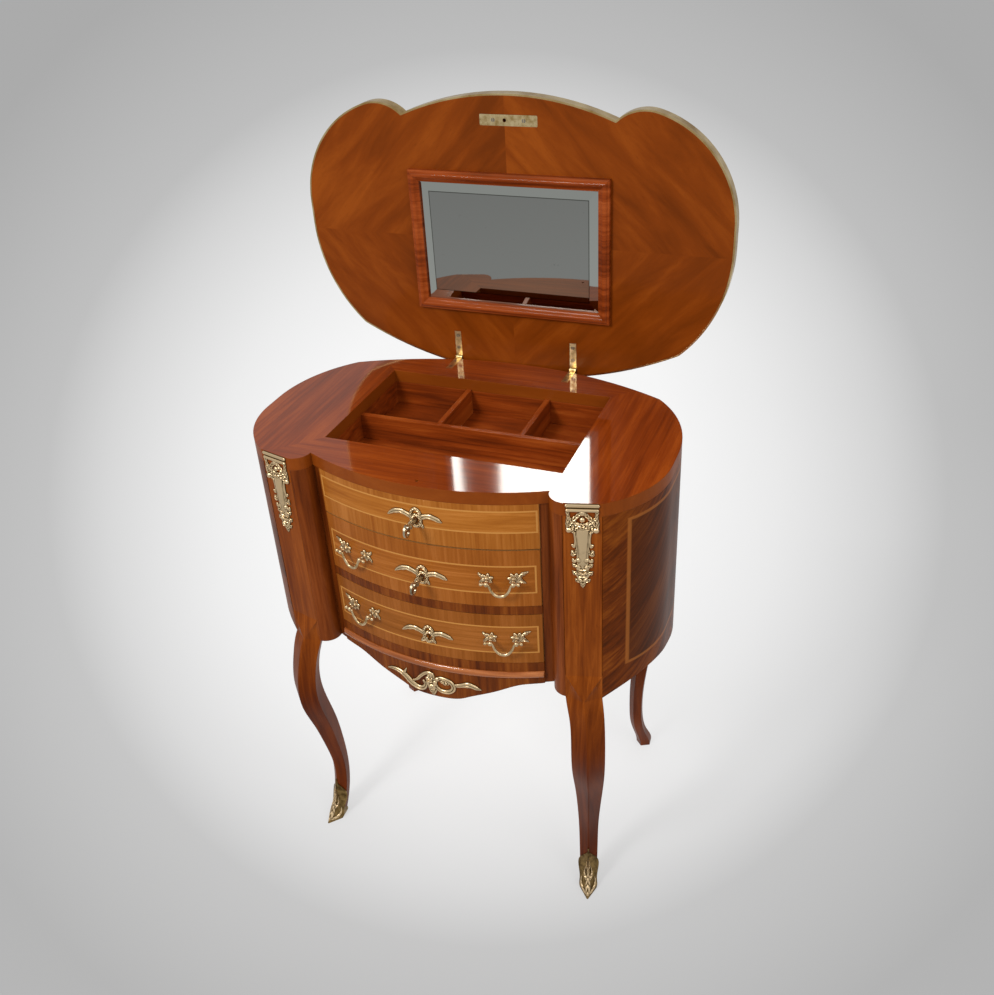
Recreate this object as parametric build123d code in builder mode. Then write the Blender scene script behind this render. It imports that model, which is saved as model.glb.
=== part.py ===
from build123d import *
import os
from math import asin, cos, degrees, radians, sin, sqrt

os.makedirs("parts", exist_ok=True)

# A poudreuse: a kidney-fronted dressing table on cabriole legs.  The lid carries a mirror
# and lifts off a divided well.  Below a false front run two drawers with bail handles.
# Millimetres, +Z up, the front faces -Y, the feet stand on Z = 0, the lid stands open.

# Driving dimensions: plan of the body, right half
front_y = -190.5  # foremost line of the bowed front
bow_radius = 424
notch_x = 182  # where the bow meets the rounded column
column_radius = 24
post_turn = 14  # degrees that the flat face of a front post looks outward
post_width = 54
post_depth = 38
flank_x = 322
flank_front_y = -38
flank_back_y = -4
back_corner_x = 258
back_corner_y = 146.5
back_y = 208.5
back_post_x = 243  # middle of the back post, which is set at 45 degrees
back_post_y = 139
back_post_width = 36
back_post_depth = 18

# Driving dimensions: heights
body_bottom = 421
apron_top = body_bottom + 12
bead_top = apron_top + 12
lower_rail_top = bead_top + 16.5
middle_rail_bottom = 553
middle_rail_top = 567.5
false_front_bottom = 667
case_top = 740
top_thickness = 20
lower_drawer_top = 552
middle_drawer_top = 664.5

# Boards
side_thickness = 16
back_thickness = 12
front_thickness = 20
rail_depth = 40
bottom_z = bead_top - 6
bottom_thickness = 8
opening_half = 168  # half the clear width between the column strips
strip_recess = 2
apron_thickness = 18
apron_low = body_bottom - 44
apron_dip_x = 57
apron_dip_z = body_bottom - 33
apron_waist_x = 100
apron_waist_z = body_bottom - 16
apron_hip_x = 135
apron_hip_z = body_bottom - 2.5
bead_proud = 4
side_arch_z = body_bottom + 23.5
side_arch_y = -88  # crown of the shallow arch under a side
side_level_y = 50  # from here to the back the lower edge of a side is level

# Well
well_y = 15.5
well_length = 368.8
well_width = 236
well_wall = 10
well_floor_z = case_top - 40
well_floor_thickness = 8
divider_top = case_top + 2
divider_thickness = 8
long_divider_y = 10.5
cross_divider_left_x = -52
cross_divider_right_x = 82

# Drawers
drawer_gap = 0.5
drawer_side_thickness = 10
drawer_side_outer = 163
drawer_back_y = 155
drawer_back_thickness = 8
drawer_bottom_thickness = 6
drawer_bottom_lift = 8
drawer_side_height = 86
runner_inner = 150
runner_outer = 182
runner_front_y = -108
runner_height = 14.5
guide_inner = 163.6
guide_height = 20

# Locks and keys
lock_y = -176.5  # line of the three bolts
lock_width = 46
lock_depth = 12
lock_below = 14
lock_above = 27.5
lock_wall = 2.2
bolt_foot_drop = 9.5  # foot of a bolt above its key
bolt_foot_height = 5
bolt_foot_width = 20
bolt_width = 12
bolt_thickness = 4
lid_bolt_radius = 2.2
bolt_play = 0.3
mortise_depth = 9.5
lid_key_z = case_top - 34
middle_key_z = 608
lower_key_z = 498
key_stem_radius = 2.25
key_stem_end_y = -173.6
key_front_y = -230.25
key_bow_length = 17
key_bow_height = 20
key_bow_thickness = 3
key_bit_reach = 8
key_play = 0.1
keyhole_radius = 2.9
keyhole_slot = 3
keyhole_drop = 8

# Lid and its hinges
lid_overhang = 23
lid_thickness = 20
edge_band = 2.5
lobe_x = 210
lobe_y = -133.5
lobe_radius = 64
hinge_x = 100
hinge_y = 210
hinge_gap = 0.25  # from the axis to the face of each leaf
leaf_width = 11
leaf_length = 46
leaf_thickness = 1.5
barrel_radius = 3.25
pin_radius = 1.2
pin_play = 0.05
knuckle_play = 0.3
barrel_play = 0.45
near_screw = 17
far_screw = 38
screw_head_radius = 3
screw_radius = 1.3
screw_length = 13
strike_length = 90
strike_width = 16
strike_thickness = 2
strike_x = 6
strike_screw_pitch = 48
bolt_pocket_depth = 10
lid_bolt_sunk = 3  # below the top when drawn back

# Mirror on the underside of the lid
frame_length = 323
frame_width = 224
frame_y = 11.5
frame_moulding = 17.5
frame_thickness = 12
glass_thickness = 5
glass_bevel = 17
glass_bevel_depth = 2
glass_lip = 2

# Bail handles
handle_x = 114
middle_handle_z = 617
lower_handle_z = 510
handle_post = 19  # each post from the middle of its handle
handle_standoff = 13
handle_post_radius = 3
eye_radius = 4
bail_radius = 1.7
bail_eye_play = 0.08
bail_arm = 12
bail_ball = 26.5
bail_ball_radius = 2.9
bail_belly = 15
bail_belly_drop = 13.5
bail_sole = 7
bail_drop = 22.5

# Legs
knee_shoulder_z = body_bottom + 41  # where the flat face of a front post starts to swell and narrow
post_groove = 1.2
arris = 2  # width of the blunted edge down the front of a leg
heel_share = 0.3  # half the width of a leg's back, as a share of the leg's width
front_foot_x = 5  # how far a front foot's middle stands outside its post's middle
sabot_sole = 6

# Brass mounts
plate_thickness = 2.4
relief_thickness = 4.6
mount_width = 43.5
mount_cap_width = 50
mount_head = 38  # height of the pierced head
mount_scroll_z = -41.5  # places below the mount's top
mount_tongue_z = -45.5
mount_leaf_z = -107.5
mount_tip_z = -137.5
apron_shell_lift = 14.5  # middle of the apron's shell, above the apron's lowest point

joint_line = 0.1  # glue line between boards of one frame

# Derived places
top_z = case_top + top_thickness
hinge_z = top_z + hinge_gap
mount_top = top_z - 0.5
bow_centre_y = front_y + bow_radius
notch_y = bow_centre_y - sqrt(bow_radius**2 - notch_x**2)
post_cos = cos(radians(post_turn))
post_sin = sin(radians(post_turn))
post_inner = (notch_x + column_radius, notch_y - column_radius)
post_outer = (post_inner[0] + post_width * post_cos, post_inner[1] + post_width * post_sin)
post_x = (post_inner[0] + post_outer[0]) / 2
post_y = (post_inner[1] + post_outer[1]) / 2
post_location = Location((post_x, post_y, 0), (0, 0, post_turn))
mount_face = Plane(
    origin=(post_x, post_y, mount_top), x_dir=(post_cos, post_sin, 0), z_dir=(post_sin, -post_cos, 0)
)
back_post_location = Location((back_post_x, back_post_y, 0), (0, 0, 135))
back_leg_plane = Plane(origin=(back_post_x, back_post_y, 0), x_dir=(-1, 1, 0), z_dir=(0, 0, 1))
front_leg_plane = Plane(origin=(post_x, post_y, 0), x_dir=(post_cos, post_sin, 0), z_dir=(0, 0, 1))
lid_face = Plane(origin=(0, hinge_y + hinge_gap, hinge_z + hinge_y), x_dir=(1, 0, 0), z_dir=(0, -1, 0))
lock_front_y = lock_y - lock_depth / 2


def keep(piece, name):
    """Name a finished piece and write it."""
    piece.part.label = name
    export_step(piece.part, f"parts/{name}.step")


def keep_mirrored(piece, name):
    """Write the left-hand twin of a right-hand piece."""
    with BuildPart() as twin:
        mirror(piece.part, about=Plane.YZ)
    keep(twin, name)


def bow_strip(half_width, front_inset, back_inset):
    """Plan of a board that follows the bow, between two depths behind the bow's face."""
    with BuildSketch() as strip:
        with Locations((0, bow_centre_y)):
            Circle(bow_radius - front_inset)
            Circle(bow_radius - back_inset, mode=Mode.SUBTRACT)
        with Locations((0, front_y + back_inset)):
            Rectangle(2 * half_width, 200, mode=Mode.INTERSECT)
    return strip.sketch


# Plan of the body
with BuildSketch() as body_plan:
    with BuildLine():
        TangentArc((0, front_y), (notch_x, notch_y), tangent=(1, 0))
        TangentArc((notch_x, notch_y), post_inner, tangent=(0, -1))
        Line(post_inner, post_outer)
        TangentArc((flank_x, flank_front_y), post_outer, tangent=(0, -1))
        Line((flank_x, flank_front_y), (flank_x, flank_back_y))
        TangentArc((flank_x, flank_back_y), (back_corner_x, back_corner_y), tangent=(0, 1))
        TangentArc((0, back_y), (back_corner_x, back_corner_y), tangent=(1, 0))
        Line((0, back_y), (0, front_y))
    make_face()
    mirror(about=Plane.YZ)

# Wood screws of the hinges and the strike plate, for which leaves and boards are bored


def wood_screw(plane):
    """A slotted countersunk wood screw, its head flush with the plane."""
    with BuildPart() as screw:
        with BuildSketch(Plane.XZ):
            Polygon(
                (0, 0),
                (screw_head_radius, 0),
                (screw_radius, -leaf_thickness),
                (screw_radius, -screw_length + 3),
                (0, -screw_length),
                align=None,
            )
        revolve(axis=Axis.Z)
        Box(2 * screw_head_radius, 0.8, 1.2, mode=Mode.SUBTRACT)
    return screw.part.moved(plane.location)


with BuildPart() as hinge_screws:
    for screw_x in (-hinge_x, hinge_x):
        for reach in (near_screw, far_screw):
            add(wood_screw(Plane(origin=(screw_x, hinge_y - reach, top_z))))
keep(hinge_screws, "hinge_screws")

strike_z = hinge_z + hinge_y - lock_y
with BuildPart() as lid_screws:
    for screw_x in (-hinge_x, hinge_x):
        for reach in (near_screw, far_screw):
            add(wood_screw(Plane(origin=(screw_x, lid_face.origin.Y, hinge_z + reach), z_dir=(0, -1, 0))))
    for screw_x in (strike_x - strike_screw_pitch / 2, strike_x + strike_screw_pitch / 2):
        add(wood_screw(Plane(origin=(screw_x, lid_face.origin.Y, strike_z), z_dir=(0, -1, 0))))
keep(lid_screws, "lid_screws")

# Fixed top: a board with the well's opening, a bore for the lid's bolt and beds for the leaves
with BuildPart() as top_board:
    with BuildSketch(Plane.XY.offset(case_top)):
        add(body_plan.sketch)
        with Locations((0, well_y)):
            Rectangle(well_length, well_width, mode=Mode.SUBTRACT)
        with Locations((0, lock_y)):
            Circle(lid_bolt_radius + bolt_play, mode=Mode.SUBTRACT)
    extrude(amount=top_thickness)
    with BuildSketch(Plane.XY.offset(top_z)):
        with Locations((-hinge_x, hinge_y), (hinge_x, hinge_y)):
            Rectangle(leaf_width, 2 * leaf_length)
    extrude(amount=-leaf_thickness, mode=Mode.SUBTRACT)
    add(hinge_screws.part, mode=Mode.SUBTRACT)
keep(top_board, "top_board")

# Well: four walls hung under the top, a floor, one long divider and two short ones
well_front_y = well_y - well_width / 2
well_back_y = well_y + well_width / 2
well_half = well_length / 2
with BuildPart() as well_walls:
    with BuildSketch(Plane.XY.offset(well_floor_z)):
        with Locations((0, well_front_y - well_wall / 2), (0, well_back_y + well_wall / 2)):
            Rectangle(well_length + 2 * well_wall, well_wall)
        with Locations((-well_half - well_wall / 2, well_y), (well_half + well_wall / 2, well_y)):
            Rectangle(well_wall, well_width - 2 * joint_line)
    extrude(amount=case_top - well_floor_z)
keep(well_walls, "well_walls")

with BuildPart() as well_floor:
    with BuildSketch(Plane.XY.offset(well_floor_z)):
        with Locations((0, well_y)):
            Rectangle(well_length + 2 * well_wall, well_width + 2 * well_wall)
    extrude(amount=-well_floor_thickness)
keep(well_floor, "well_floor")

with BuildPart() as well_long_divider:
    with BuildSketch(Plane.XY.offset(well_floor_z)):
        with Locations((0, long_divider_y)):
            Rectangle(well_length, divider_thickness)
    extrude(amount=divider_top - well_floor_z)
keep(well_long_divider, "well_long_divider")

cross_divider_y = long_divider_y + divider_thickness / 2
with BuildPart() as well_cross_dividers:
    with BuildSketch(Plane.XY.offset(well_floor_z)):
        with Locations((cross_divider_left_x, cross_divider_y), (cross_divider_right_x, cross_divider_y)):
            Rectangle(divider_thickness, well_back_y - cross_divider_y, align=(Align.CENTER, Align.MIN))
    extrude(amount=divider_top - well_floor_z)
keep(well_cross_dividers, "well_cross_dividers")


def leg_station(plane, height, across, width, front, side, heel, nose=arris):
    """Plan of a cabriole leg at one height: an arris or flat in front, the sides widest, a flat heel."""
    half_heel = heel_share * width
    with BuildSketch(plane.offset(height)) as station:
        with Locations((across, 0)):
            Polygon(
                (-nose / 2, front),
                (nose / 2, front),
                (width / 2, side),
                (half_heel, heel),
                (-half_heel, heel),
                (-width / 2, side),
                align=None,
            )
    return station.sketch


def front_station(height, across, width, front, side, heel, nose=arris):
    """A section of a front leg."""
    return leg_station(front_leg_plane, height, across, width, front, side, heel, nose)


def back_station(height, across, width, front, side, heel):
    """A section of a back leg."""
    return leg_station(back_leg_plane, height, across, width, front, side, heel)


# Front leg: the post runs on into a cabriole; its flat face narrows to an arris below the body
knee_middle_z = (knee_shoulder_z + body_bottom) / 2
with BuildPart() as front_leg_right:
    with BuildSketch(front_leg_plane.offset(knee_shoulder_z)):
        Rectangle(post_width, post_depth, align=(Align.CENTER, Align.MIN))
    extrude(amount=case_top - knee_shoulder_z)
    front_edges = front_leg_right.edges().filter_by(Axis.Z).sort_by(Axis.Y)[:2]
    chamfer(front_edges, post_groove)
    with BuildSketch(front_leg_plane.offset(body_bottom)):
        Rectangle(post_width, post_depth, align=(Align.CENTER, Align.MIN))
    extrude(amount=knee_shoulder_z - body_bottom)
    # The face bulges forward and narrows between the shoulder and the underside of the body
    add(front_station(knee_shoulder_z, 0, post_width, front=0, side=12, heel=30, nose=post_width))
    add(front_station(knee_middle_z, 0, post_width, front=-6, side=6, heel=24, nose=post_width / 2))
    add(front_station(body_bottom, 0, post_width, front=-11, side=1, heel=19))
    loft(ruled=True)
    # Cabriole from the underside of the body to the sole of the sabot
    add(front_station(body_bottom, 0, post_width, front=-11, side=1, heel=19))
    add(front_station(385, 5, width=52, front=-24, side=-11, heel=8))
    add(front_station(330, 7, width=51, front=-36.5, side=-21.5, heel=0.5))
    add(front_station(285, 7, width=49.5, front=-35, side=-18, heel=7))
    add(front_station(230, 7, width=43, front=-18.5, side=-3, heel=20.5))
    add(front_station(175, 6, width=36, front=-4.5, side=8.5, heel=28.5))
    add(front_station(115, front_foot_x, width=31, front=6, side=16.5, heel=32))
    add(front_station(58, front_foot_x, width=29, front=1.5, side=11.5, heel=26.5))
    add(front_station(28, front_foot_x, width=27, front=-6.5, side=3.5, heel=18.5))
    add(front_station(sabot_sole, front_foot_x, width=24, front=-13, side=-3.5, heel=11))
    loft()
keep(front_leg_right, "front_leg_right")
keep_mirrored(front_leg_right, "front_leg_left")

# Sabots: cast brass shoes with a pointed toe on the front feet, each with a leaf up the arris;
# the heel above the sole is left bare
with BuildPart() as sabots:
    add(front_station(80, front_foot_x, width=3, front=2.4, side=3, heel=6))
    add(front_station(66, front_foot_x, width=12, front=0.5, side=4, heel=8))
    add(front_station(50, front_foot_x, width=32, front=-2.5, side=8.5, heel=14))
    add(front_station(28, front_foot_x, width=31, front=-11, side=2, heel=9))
    add(front_station(10, front_foot_x, width=30, front=-26, side=-5, heel=10))
    add(front_station(0, front_foot_x, width=28, front=-33.5, side=-10, heel=10))
    loft()
    add(front_leg_right.part, mode=Mode.SUBTRACT)
    mirror(about=Plane.YZ)
keep(sabots, "sabots")

# Back leg: a plain post on the diagonal of the corner and a cabriole that kicks backward
with BuildSketch() as back_post_plan:
    add(body_plan.sketch)
    with Locations(back_post_location):
        with Locations((0, back_post_depth)):
            Rectangle(
                back_post_width,
                4 * back_post_width,
                align=(Align.CENTER, Align.MAX),
                mode=Mode.INTERSECT,
            )

with BuildPart() as back_leg_right:
    with BuildSketch(Plane.XY.offset(body_bottom)):
        add(back_post_plan.sketch)
    extrude(amount=case_top - body_bottom)
    add(back_station(body_bottom, 0, width=back_post_width, front=-15.5, side=-2.5, heel=17.5))
    add(back_station(375, 0, width=35, front=-27.5, side=-13.5, heel=7.5))
    add(back_station(330, 0, width=34, front=-30, side=-16.5, heel=4))
    add(back_station(260, 2, width=30, front=-23, side=-11, heel=7))
    add(back_station(190, 4, width=26, front=-13, side=-2.5, heel=13))
    add(back_station(120, 11, width=24, front=-12.5, side=-3.5, heel=10.5))
    add(back_station(80, 14, width=24, front=-16.5, side=-7.5, heel=6.5))
    add(back_station(40, 20.5, width=24, front=-29.5, side=-20, heel=-5.5))
    add(back_station(15, 25, width=26, front=-41.5, side=-30.5, heel=-14.5))
    add(back_station(0, 27, width=27, front=-44.5, side=-33.5, heel=-17.5))
    loft()
keep(back_leg_right, "back_leg_right")
keep_mirrored(back_leg_right, "back_leg_left")

# Side panels: bent boards from the front post round the shoulder and flank to the back post
with BuildSketch() as inner_plan:
    offset(body_plan.sketch, amount=-side_thickness)

with BuildSketch() as side_panel_plan:
    add(body_plan.sketch)
    add(inner_plan.sketch, mode=Mode.SUBTRACT)
    with Locations((post_x, 0)):
        Rectangle(400, 600, align=(Align.MIN, Align.CENTER), mode=Mode.INTERSECT)
    with Locations(post_location):
        with Locations((post_width / 2, 0)):
            Rectangle(200, 200, align=(Align.MAX, Align.CENTER), mode=Mode.SUBTRACT)
    with Locations(back_post_location):
        with Locations((-back_post_width / 2, 0)):
            Rectangle(400, 400, align=(Align.MIN, Align.CENTER), mode=Mode.SUBTRACT)

with BuildPart() as side_panel_right:
    with BuildSketch(Plane.XY.offset(body_bottom)):
        add(side_panel_plan.sketch)
    extrude(amount=case_top - body_bottom)
    with BuildSketch(Plane.YZ):
        with BuildLine():
            Spline(
                (post_outer[1], body_bottom),
                (side_arch_y, side_arch_z),
                (side_level_y, body_bottom),
                tangents=((1, 1), (1, 0)),
            )
            Line((side_level_y, body_bottom), (post_outer[1], body_bottom))
        make_face()
    extrude(amount=2 * flank_x, mode=Mode.SUBTRACT)
keep(side_panel_right, "side_panel_right")
keep_mirrored(side_panel_right, "side_panel_left")

# Back panel: a thinner bent board between the back posts
with BuildPart() as back_panel:
    with BuildSketch(Plane.XY.offset(body_bottom)):
        add(body_plan.sketch)
        offset(body_plan.sketch, amount=-back_thickness, mode=Mode.SUBTRACT)
        with Locations((0, back_post_y)):
            Rectangle(2 * back_post_x, 200, align=(Align.CENTER, Align.MIN), mode=Mode.INTERSECT)
        add(back_post_plan.sketch, mode=Mode.SUBTRACT)
        mirror(back_post_plan.sketch, about=Plane.YZ, mode=Mode.SUBTRACT)
    extrude(amount=case_top - body_bottom)
keep(back_panel, "back_panel")

# Front columns: a rounded stile beside each post, with a sunk strip next to the drawers
column_back_y = post_y + post_depth * 0.8
with BuildPart() as front_columns:
    with BuildSketch(Plane.XY.offset(body_bottom)):
        add(body_plan.sketch)
        with Locations((notch_x, column_back_y)):
            Rectangle(60, 60, align=(Align.MIN, Align.MAX), mode=Mode.INTERSECT)
        with Locations(post_location):
            with Locations((-post_width / 2, 0)):
                Rectangle(200, 200, align=(Align.MIN, Align.CENTER), mode=Mode.SUBTRACT)
    extrude(amount=case_top - body_bottom)
    with BuildSketch(Plane.XY.offset(body_bottom)):
        add(bow_strip(notch_x, strip_recess, rail_depth))
        with Locations((opening_half, column_back_y)):
            Rectangle(notch_x - opening_half, 60, align=(Align.MIN, Align.MAX), mode=Mode.INTERSECT)
    extrude(amount=case_top - body_bottom)
    mirror(about=Plane.YZ)
keep(front_columns, "front_columns")


def keyhole_cutter(key_z):
    """Round keyhole with a slot below it, from in front of the bow as far as a lock."""
    with BuildPart() as cutter:
        with BuildSketch(Plane.XZ.offset(-lock_front_y)):
            with Locations((0, key_z)):
                Circle(keyhole_radius)
                Rectangle(keyhole_slot, keyhole_drop, align=(Align.CENTER, Align.MAX))
        extrude(amount=2 * front_thickness)
    return cutter.part


def lock_pocket(key_z):
    """Room for a lock, let into a front from behind."""
    with BuildPart() as pocket:
        with Locations((0, lock_front_y, key_z - lock_below)):
            Box(
                lock_width,
                2 * front_thickness,
                lock_below + lock_above,
                align=(Align.CENTER, Align.MIN, Align.MIN),
            )
    return pocket.part


def bolt_mortise(bottom):
    """Room above a drawer for its raised bolt."""
    with BuildPart() as mortise:
        with Locations((0, lock_y, bottom)):
            Box(
                bolt_width + 4 * bolt_play,
                bolt_thickness + 4 * bolt_play,
                mortise_depth,
                align=(Align.CENTER, Align.CENTER, Align.MIN),
            )
    return mortise.part


# False front: a drawer face that is fixed, with the lid's lock let into its back
with BuildPart() as false_front:
    with BuildSketch(Plane.XY.offset(false_front_bottom)):
        add(bow_strip(opening_half, 0, front_thickness))
    extrude(amount=case_top - false_front_bottom)
    with BuildSketch(Plane.XY.offset(lid_key_z)):
        with Locations((0, lock_y)):
            Circle(lid_bolt_radius + bolt_play)
    extrude(amount=case_top - lid_key_z, mode=Mode.SUBTRACT)
    add(lock_pocket(lid_key_z), mode=Mode.SUBTRACT)
    add(bolt_mortise(false_front_bottom), mode=Mode.SUBTRACT)
    add(keyhole_cutter(lid_key_z), mode=Mode.SUBTRACT)
keep(false_front, "false_front")

# Rails between the columns, the upper one with a mortise for the lower drawer's bolt
with BuildPart() as middle_rail:
    with BuildSketch(Plane.XY.offset(middle_rail_bottom)):
        add(bow_strip(opening_half, 0, rail_depth))
    extrude(amount=middle_rail_top - middle_rail_bottom)
    add(bolt_mortise(middle_rail_bottom), mode=Mode.SUBTRACT)
keep(middle_rail, "middle_rail")

with BuildPart() as lower_rail:
    with BuildSketch(Plane.XY.offset(bead_top)):
        add(bow_strip(opening_half, 0, rail_depth))
    extrude(amount=lower_rail_top - bead_top)
keep(lower_rail, "lower_rail")

# Bead: a half-round moulding that stands proud of the bow under the lower rail
bow_axis = Axis((0, bow_centre_y, 0), (0, 0, 1))
bead_z = (apron_top + bead_top) / 2
with BuildPart() as bead_moulding:
    with BuildSketch(Plane.YZ):
        with Locations((front_y, bead_z)):
            Ellipse(bead_proud, (bead_top - apron_top) / 2)
            Rectangle(apron_thickness, bead_top - apron_top, align=(Align.MIN, Align.CENTER))
    revolve(axis=bow_axis)
    with Locations((0, front_y, bead_z)):
        Box(2 * opening_half, 140, 40, mode=Mode.INTERSECT)
keep(bead_moulding, "bead_moulding")

# Apron: a shaped board that dips in the middle, following the bow
with BuildSketch(Plane.XZ) as apron_outline:
    with BuildLine():
        Line((0, apron_top), (opening_half, apron_top))
        Line((opening_half, apron_top), (opening_half, body_bottom))
        Spline(
            (opening_half, body_bottom),
            (apron_hip_x, apron_hip_z),
            (apron_waist_x, apron_waist_z),
            (apron_dip_x, apron_dip_z),
            (0, apron_low),
            tangents=((-1, -0.1), (-1, 0)),
        )
        Line((0, apron_low), (0, apron_top))
    make_face()
    mirror(about=Plane.YZ)
with BuildPart() as apron:
    extrude(apron_outline.sketch, amount=300)
    with BuildSketch():
        add(bow_strip(opening_half, 0, apron_thickness))
    extrude(amount=top_z, mode=Mode.INTERSECT)
keep(apron, "apron")

# Bottom board, behind the lower rail and between the panels
with BuildPart() as bottom_board:
    with BuildSketch(Plane.XY.offset(bottom_z)):
        offset(body_plan.sketch, amount=-back_thickness)
        add(bow_strip(opening_half, 0, rail_depth), mode=Mode.SUBTRACT)
        for corner_plan in (side_panel_plan, back_post_plan):
            add(corner_plan.sketch, mode=Mode.SUBTRACT)
            mirror(corner_plan.sketch, about=Plane.YZ, mode=Mode.SUBTRACT)
    extrude(amount=bottom_thickness)
    add(front_columns.part, mode=Mode.SUBTRACT)
    add(front_leg_right.part, mode=Mode.SUBTRACT)
    mirror(front_leg_right.part, about=Plane.YZ, mode=Mode.SUBTRACT)
keep(bottom_board, "bottom_board")

# Runners with guides, a pair under each drawer, from the rails back to the back panel
with BuildPart() as drawer_runners:
    for runner_top in (lower_rail_top, middle_rail_top):
        with BuildSketch(Plane.XZ.offset(-runner_front_y)):
            with Locations((runner_inner, runner_top)):
                Rectangle(runner_outer - runner_inner, runner_height, align=(Align.MIN, Align.MAX))
            with Locations((guide_inner, runner_top)):
                Rectangle(runner_outer - guide_inner, guide_height, align=(Align.MIN, Align.MIN))
        extrude(amount=runner_front_y - back_y)
    with BuildSketch():
        offset(body_plan.sketch, amount=-back_thickness)
    extrude(amount=top_z, mode=Mode.INTERSECT)
    mirror(about=Plane.YZ)
keep(drawer_runners, "drawer_runners")


# Locks: a brass case with a chamber, in which the key's bit turns and lifts the bolt
def lock_case(key_z, bolt_outline):
    """Lock case let into the back of a front; the outline is the hole for its bolt."""
    case_low = key_z - lock_below
    case_high = key_z + lock_above
    with BuildPart() as case:
        with Locations((0, lock_y, case_low)):
            Box(lock_width, lock_depth, case_high - case_low, align=(Align.CENTER, Align.CENTER, Align.MIN))
        with Locations((0, lock_y, case_low + lock_wall)):
            Box(
                lock_width - 2 * lock_wall,
                lock_depth - 2 * lock_wall,
                case_high - case_low - 2 * lock_wall,
                align=(Align.CENTER, Align.CENTER, Align.MIN),
                mode=Mode.SUBTRACT,
            )
        with Locations((0, lock_front_y, key_z)):
            Cylinder(key_stem_radius + key_play, 2 * lock_wall + 1, rotation=(90, 0, 0), mode=Mode.SUBTRACT)
        with BuildSketch(Plane.XY.offset(key_z)):
            add(bolt_outline)
        extrude(amount=2 * lock_above, mode=Mode.SUBTRACT)
    return case


def bolt(key_z, outline, top):
    """Bolt with a wide foot in the lock's chamber, over the key's bit."""
    foot_z = key_z + bolt_foot_drop
    with BuildPart() as bar:
        with BuildSketch(Plane.XY.offset(foot_z)):
            add(outline)
        extrude(amount=top - foot_z)
        with Locations((0, lock_y, foot_z)):
            Box(
                bolt_foot_width,
                bolt_thickness,
                bolt_foot_height,
                align=(Align.CENTER, Align.CENTER, Align.MIN),
            )
    return bar


def key(key_z):
    """Key in its lock: a bit in the chamber, a straight stem, a collar and a pierced bow."""
    bow_y = key_front_y + key_bow_length / 2
    with BuildPart() as whole_key:
        with BuildSketch(Plane.XZ.offset(-key_stem_end_y)):
            with Locations((0, key_z)):
                Circle(key_stem_radius)
        extrude(amount=key_stem_end_y - bow_y - key_bow_length / 2 + 2)
        with Locations((0, bow_y + key_bow_length / 2 + 3, key_z)):
            Cylinder(key_stem_radius + 1.4, 2, rotation=(90, 0, 0))
        with Locations((0, lock_y, key_z)):
            Box(2, bolt_thickness, key_bit_reach, align=(Align.CENTER, Align.CENTER, Align.MAX))
        with BuildSketch(Plane.YZ.offset(-key_bow_thickness / 2)):
            with Locations((bow_y, key_z)):
                Ellipse(key_bow_length / 2, key_bow_height / 2)
                with Locations((0.5, key_bow_height * 0.23), (0.5, -key_bow_height * 0.23)):
                    Ellipse(key_bow_length * 0.28, key_bow_height * 0.15, mode=Mode.SUBTRACT)
        extrude(amount=key_bow_thickness)
    return whole_key


with BuildSketch() as flat_bolt_outline:
    with Locations((0, lock_y)):
        Rectangle(bolt_width, bolt_thickness)
with BuildSketch() as flat_bolt_hole:
    with Locations((0, lock_y)):
        Rectangle(bolt_width + 2 * bolt_play, bolt_thickness + 2 * bolt_play)
with BuildSketch() as round_bolt_outline:
    with Locations((0, lock_y)):
        Circle(lid_bolt_radius)
with BuildSketch() as round_bolt_hole:
    with Locations((0, lock_y)):
        Circle(lid_bolt_radius + bolt_play)

keep(lock_case(lid_key_z, round_bolt_hole.sketch), "lid_lock_case")
keep(bolt(lid_key_z, round_bolt_outline.sketch, top_z - lid_bolt_sunk), "lid_lock_bolt")
keep(key(lid_key_z), "lid_key")


# Brass mounts that lie on the bow are cut from a sheet bent to it
def bent_sheet(silhouette, thickness):
    """Sheet on the face of the bow with the silhouette of a sketch seen from the front."""
    with BuildPart() as sheet:
        extrude(silhouette, amount=300)
        with BuildSketch():
            add(bow_strip(opening_half, -thickness, 0))
        extrude(amount=top_z, mode=Mode.INTERSECT)
    return sheet.part


def escutcheon(key_z):
    """Winged escutcheon: a raised cartouche round the keyhole between two drooping leaves."""
    with BuildSketch(Plane.XZ) as leaves:
        with BuildLine():
            ThreePointArc((6, key_z + 1), (22, key_z + 8.5), (38, key_z))
            ThreePointArc((38, key_z), (22, key_z + 3.5), (6, key_z - 5))
            Line((6, key_z - 5), (6, key_z + 1))
        make_face()
        with BuildLine():
            ThreePointArc((-6, key_z + 1), (-25, key_z + 8.5), (-45, key_z))
            ThreePointArc((-45, key_z), (-25, key_z + 3.5), (-6, key_z - 5))
            Line((-6, key_z - 5), (-6, key_z + 1))
        make_face()
        with Locations((9, key_z - 10), (-9, key_z - 10)):
            Ellipse(5.5, 3, rotation=-40)
    with BuildSketch(Plane.XZ) as cartouche:
        with Locations((0, key_z)):
            Ellipse(9, 13)
        with Locations((0, key_z + 13.5)):
            Circle(6)
    with BuildPart() as plate:
        add(bent_sheet(leaves.sketch, plate_thickness))
        add(bent_sheet(cartouche.sketch, relief_thickness))
        add(keyhole_cutter(key_z), mode=Mode.SUBTRACT)
    return plate


keep(escutcheon(lid_key_z), "top_escutcheon")

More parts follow.
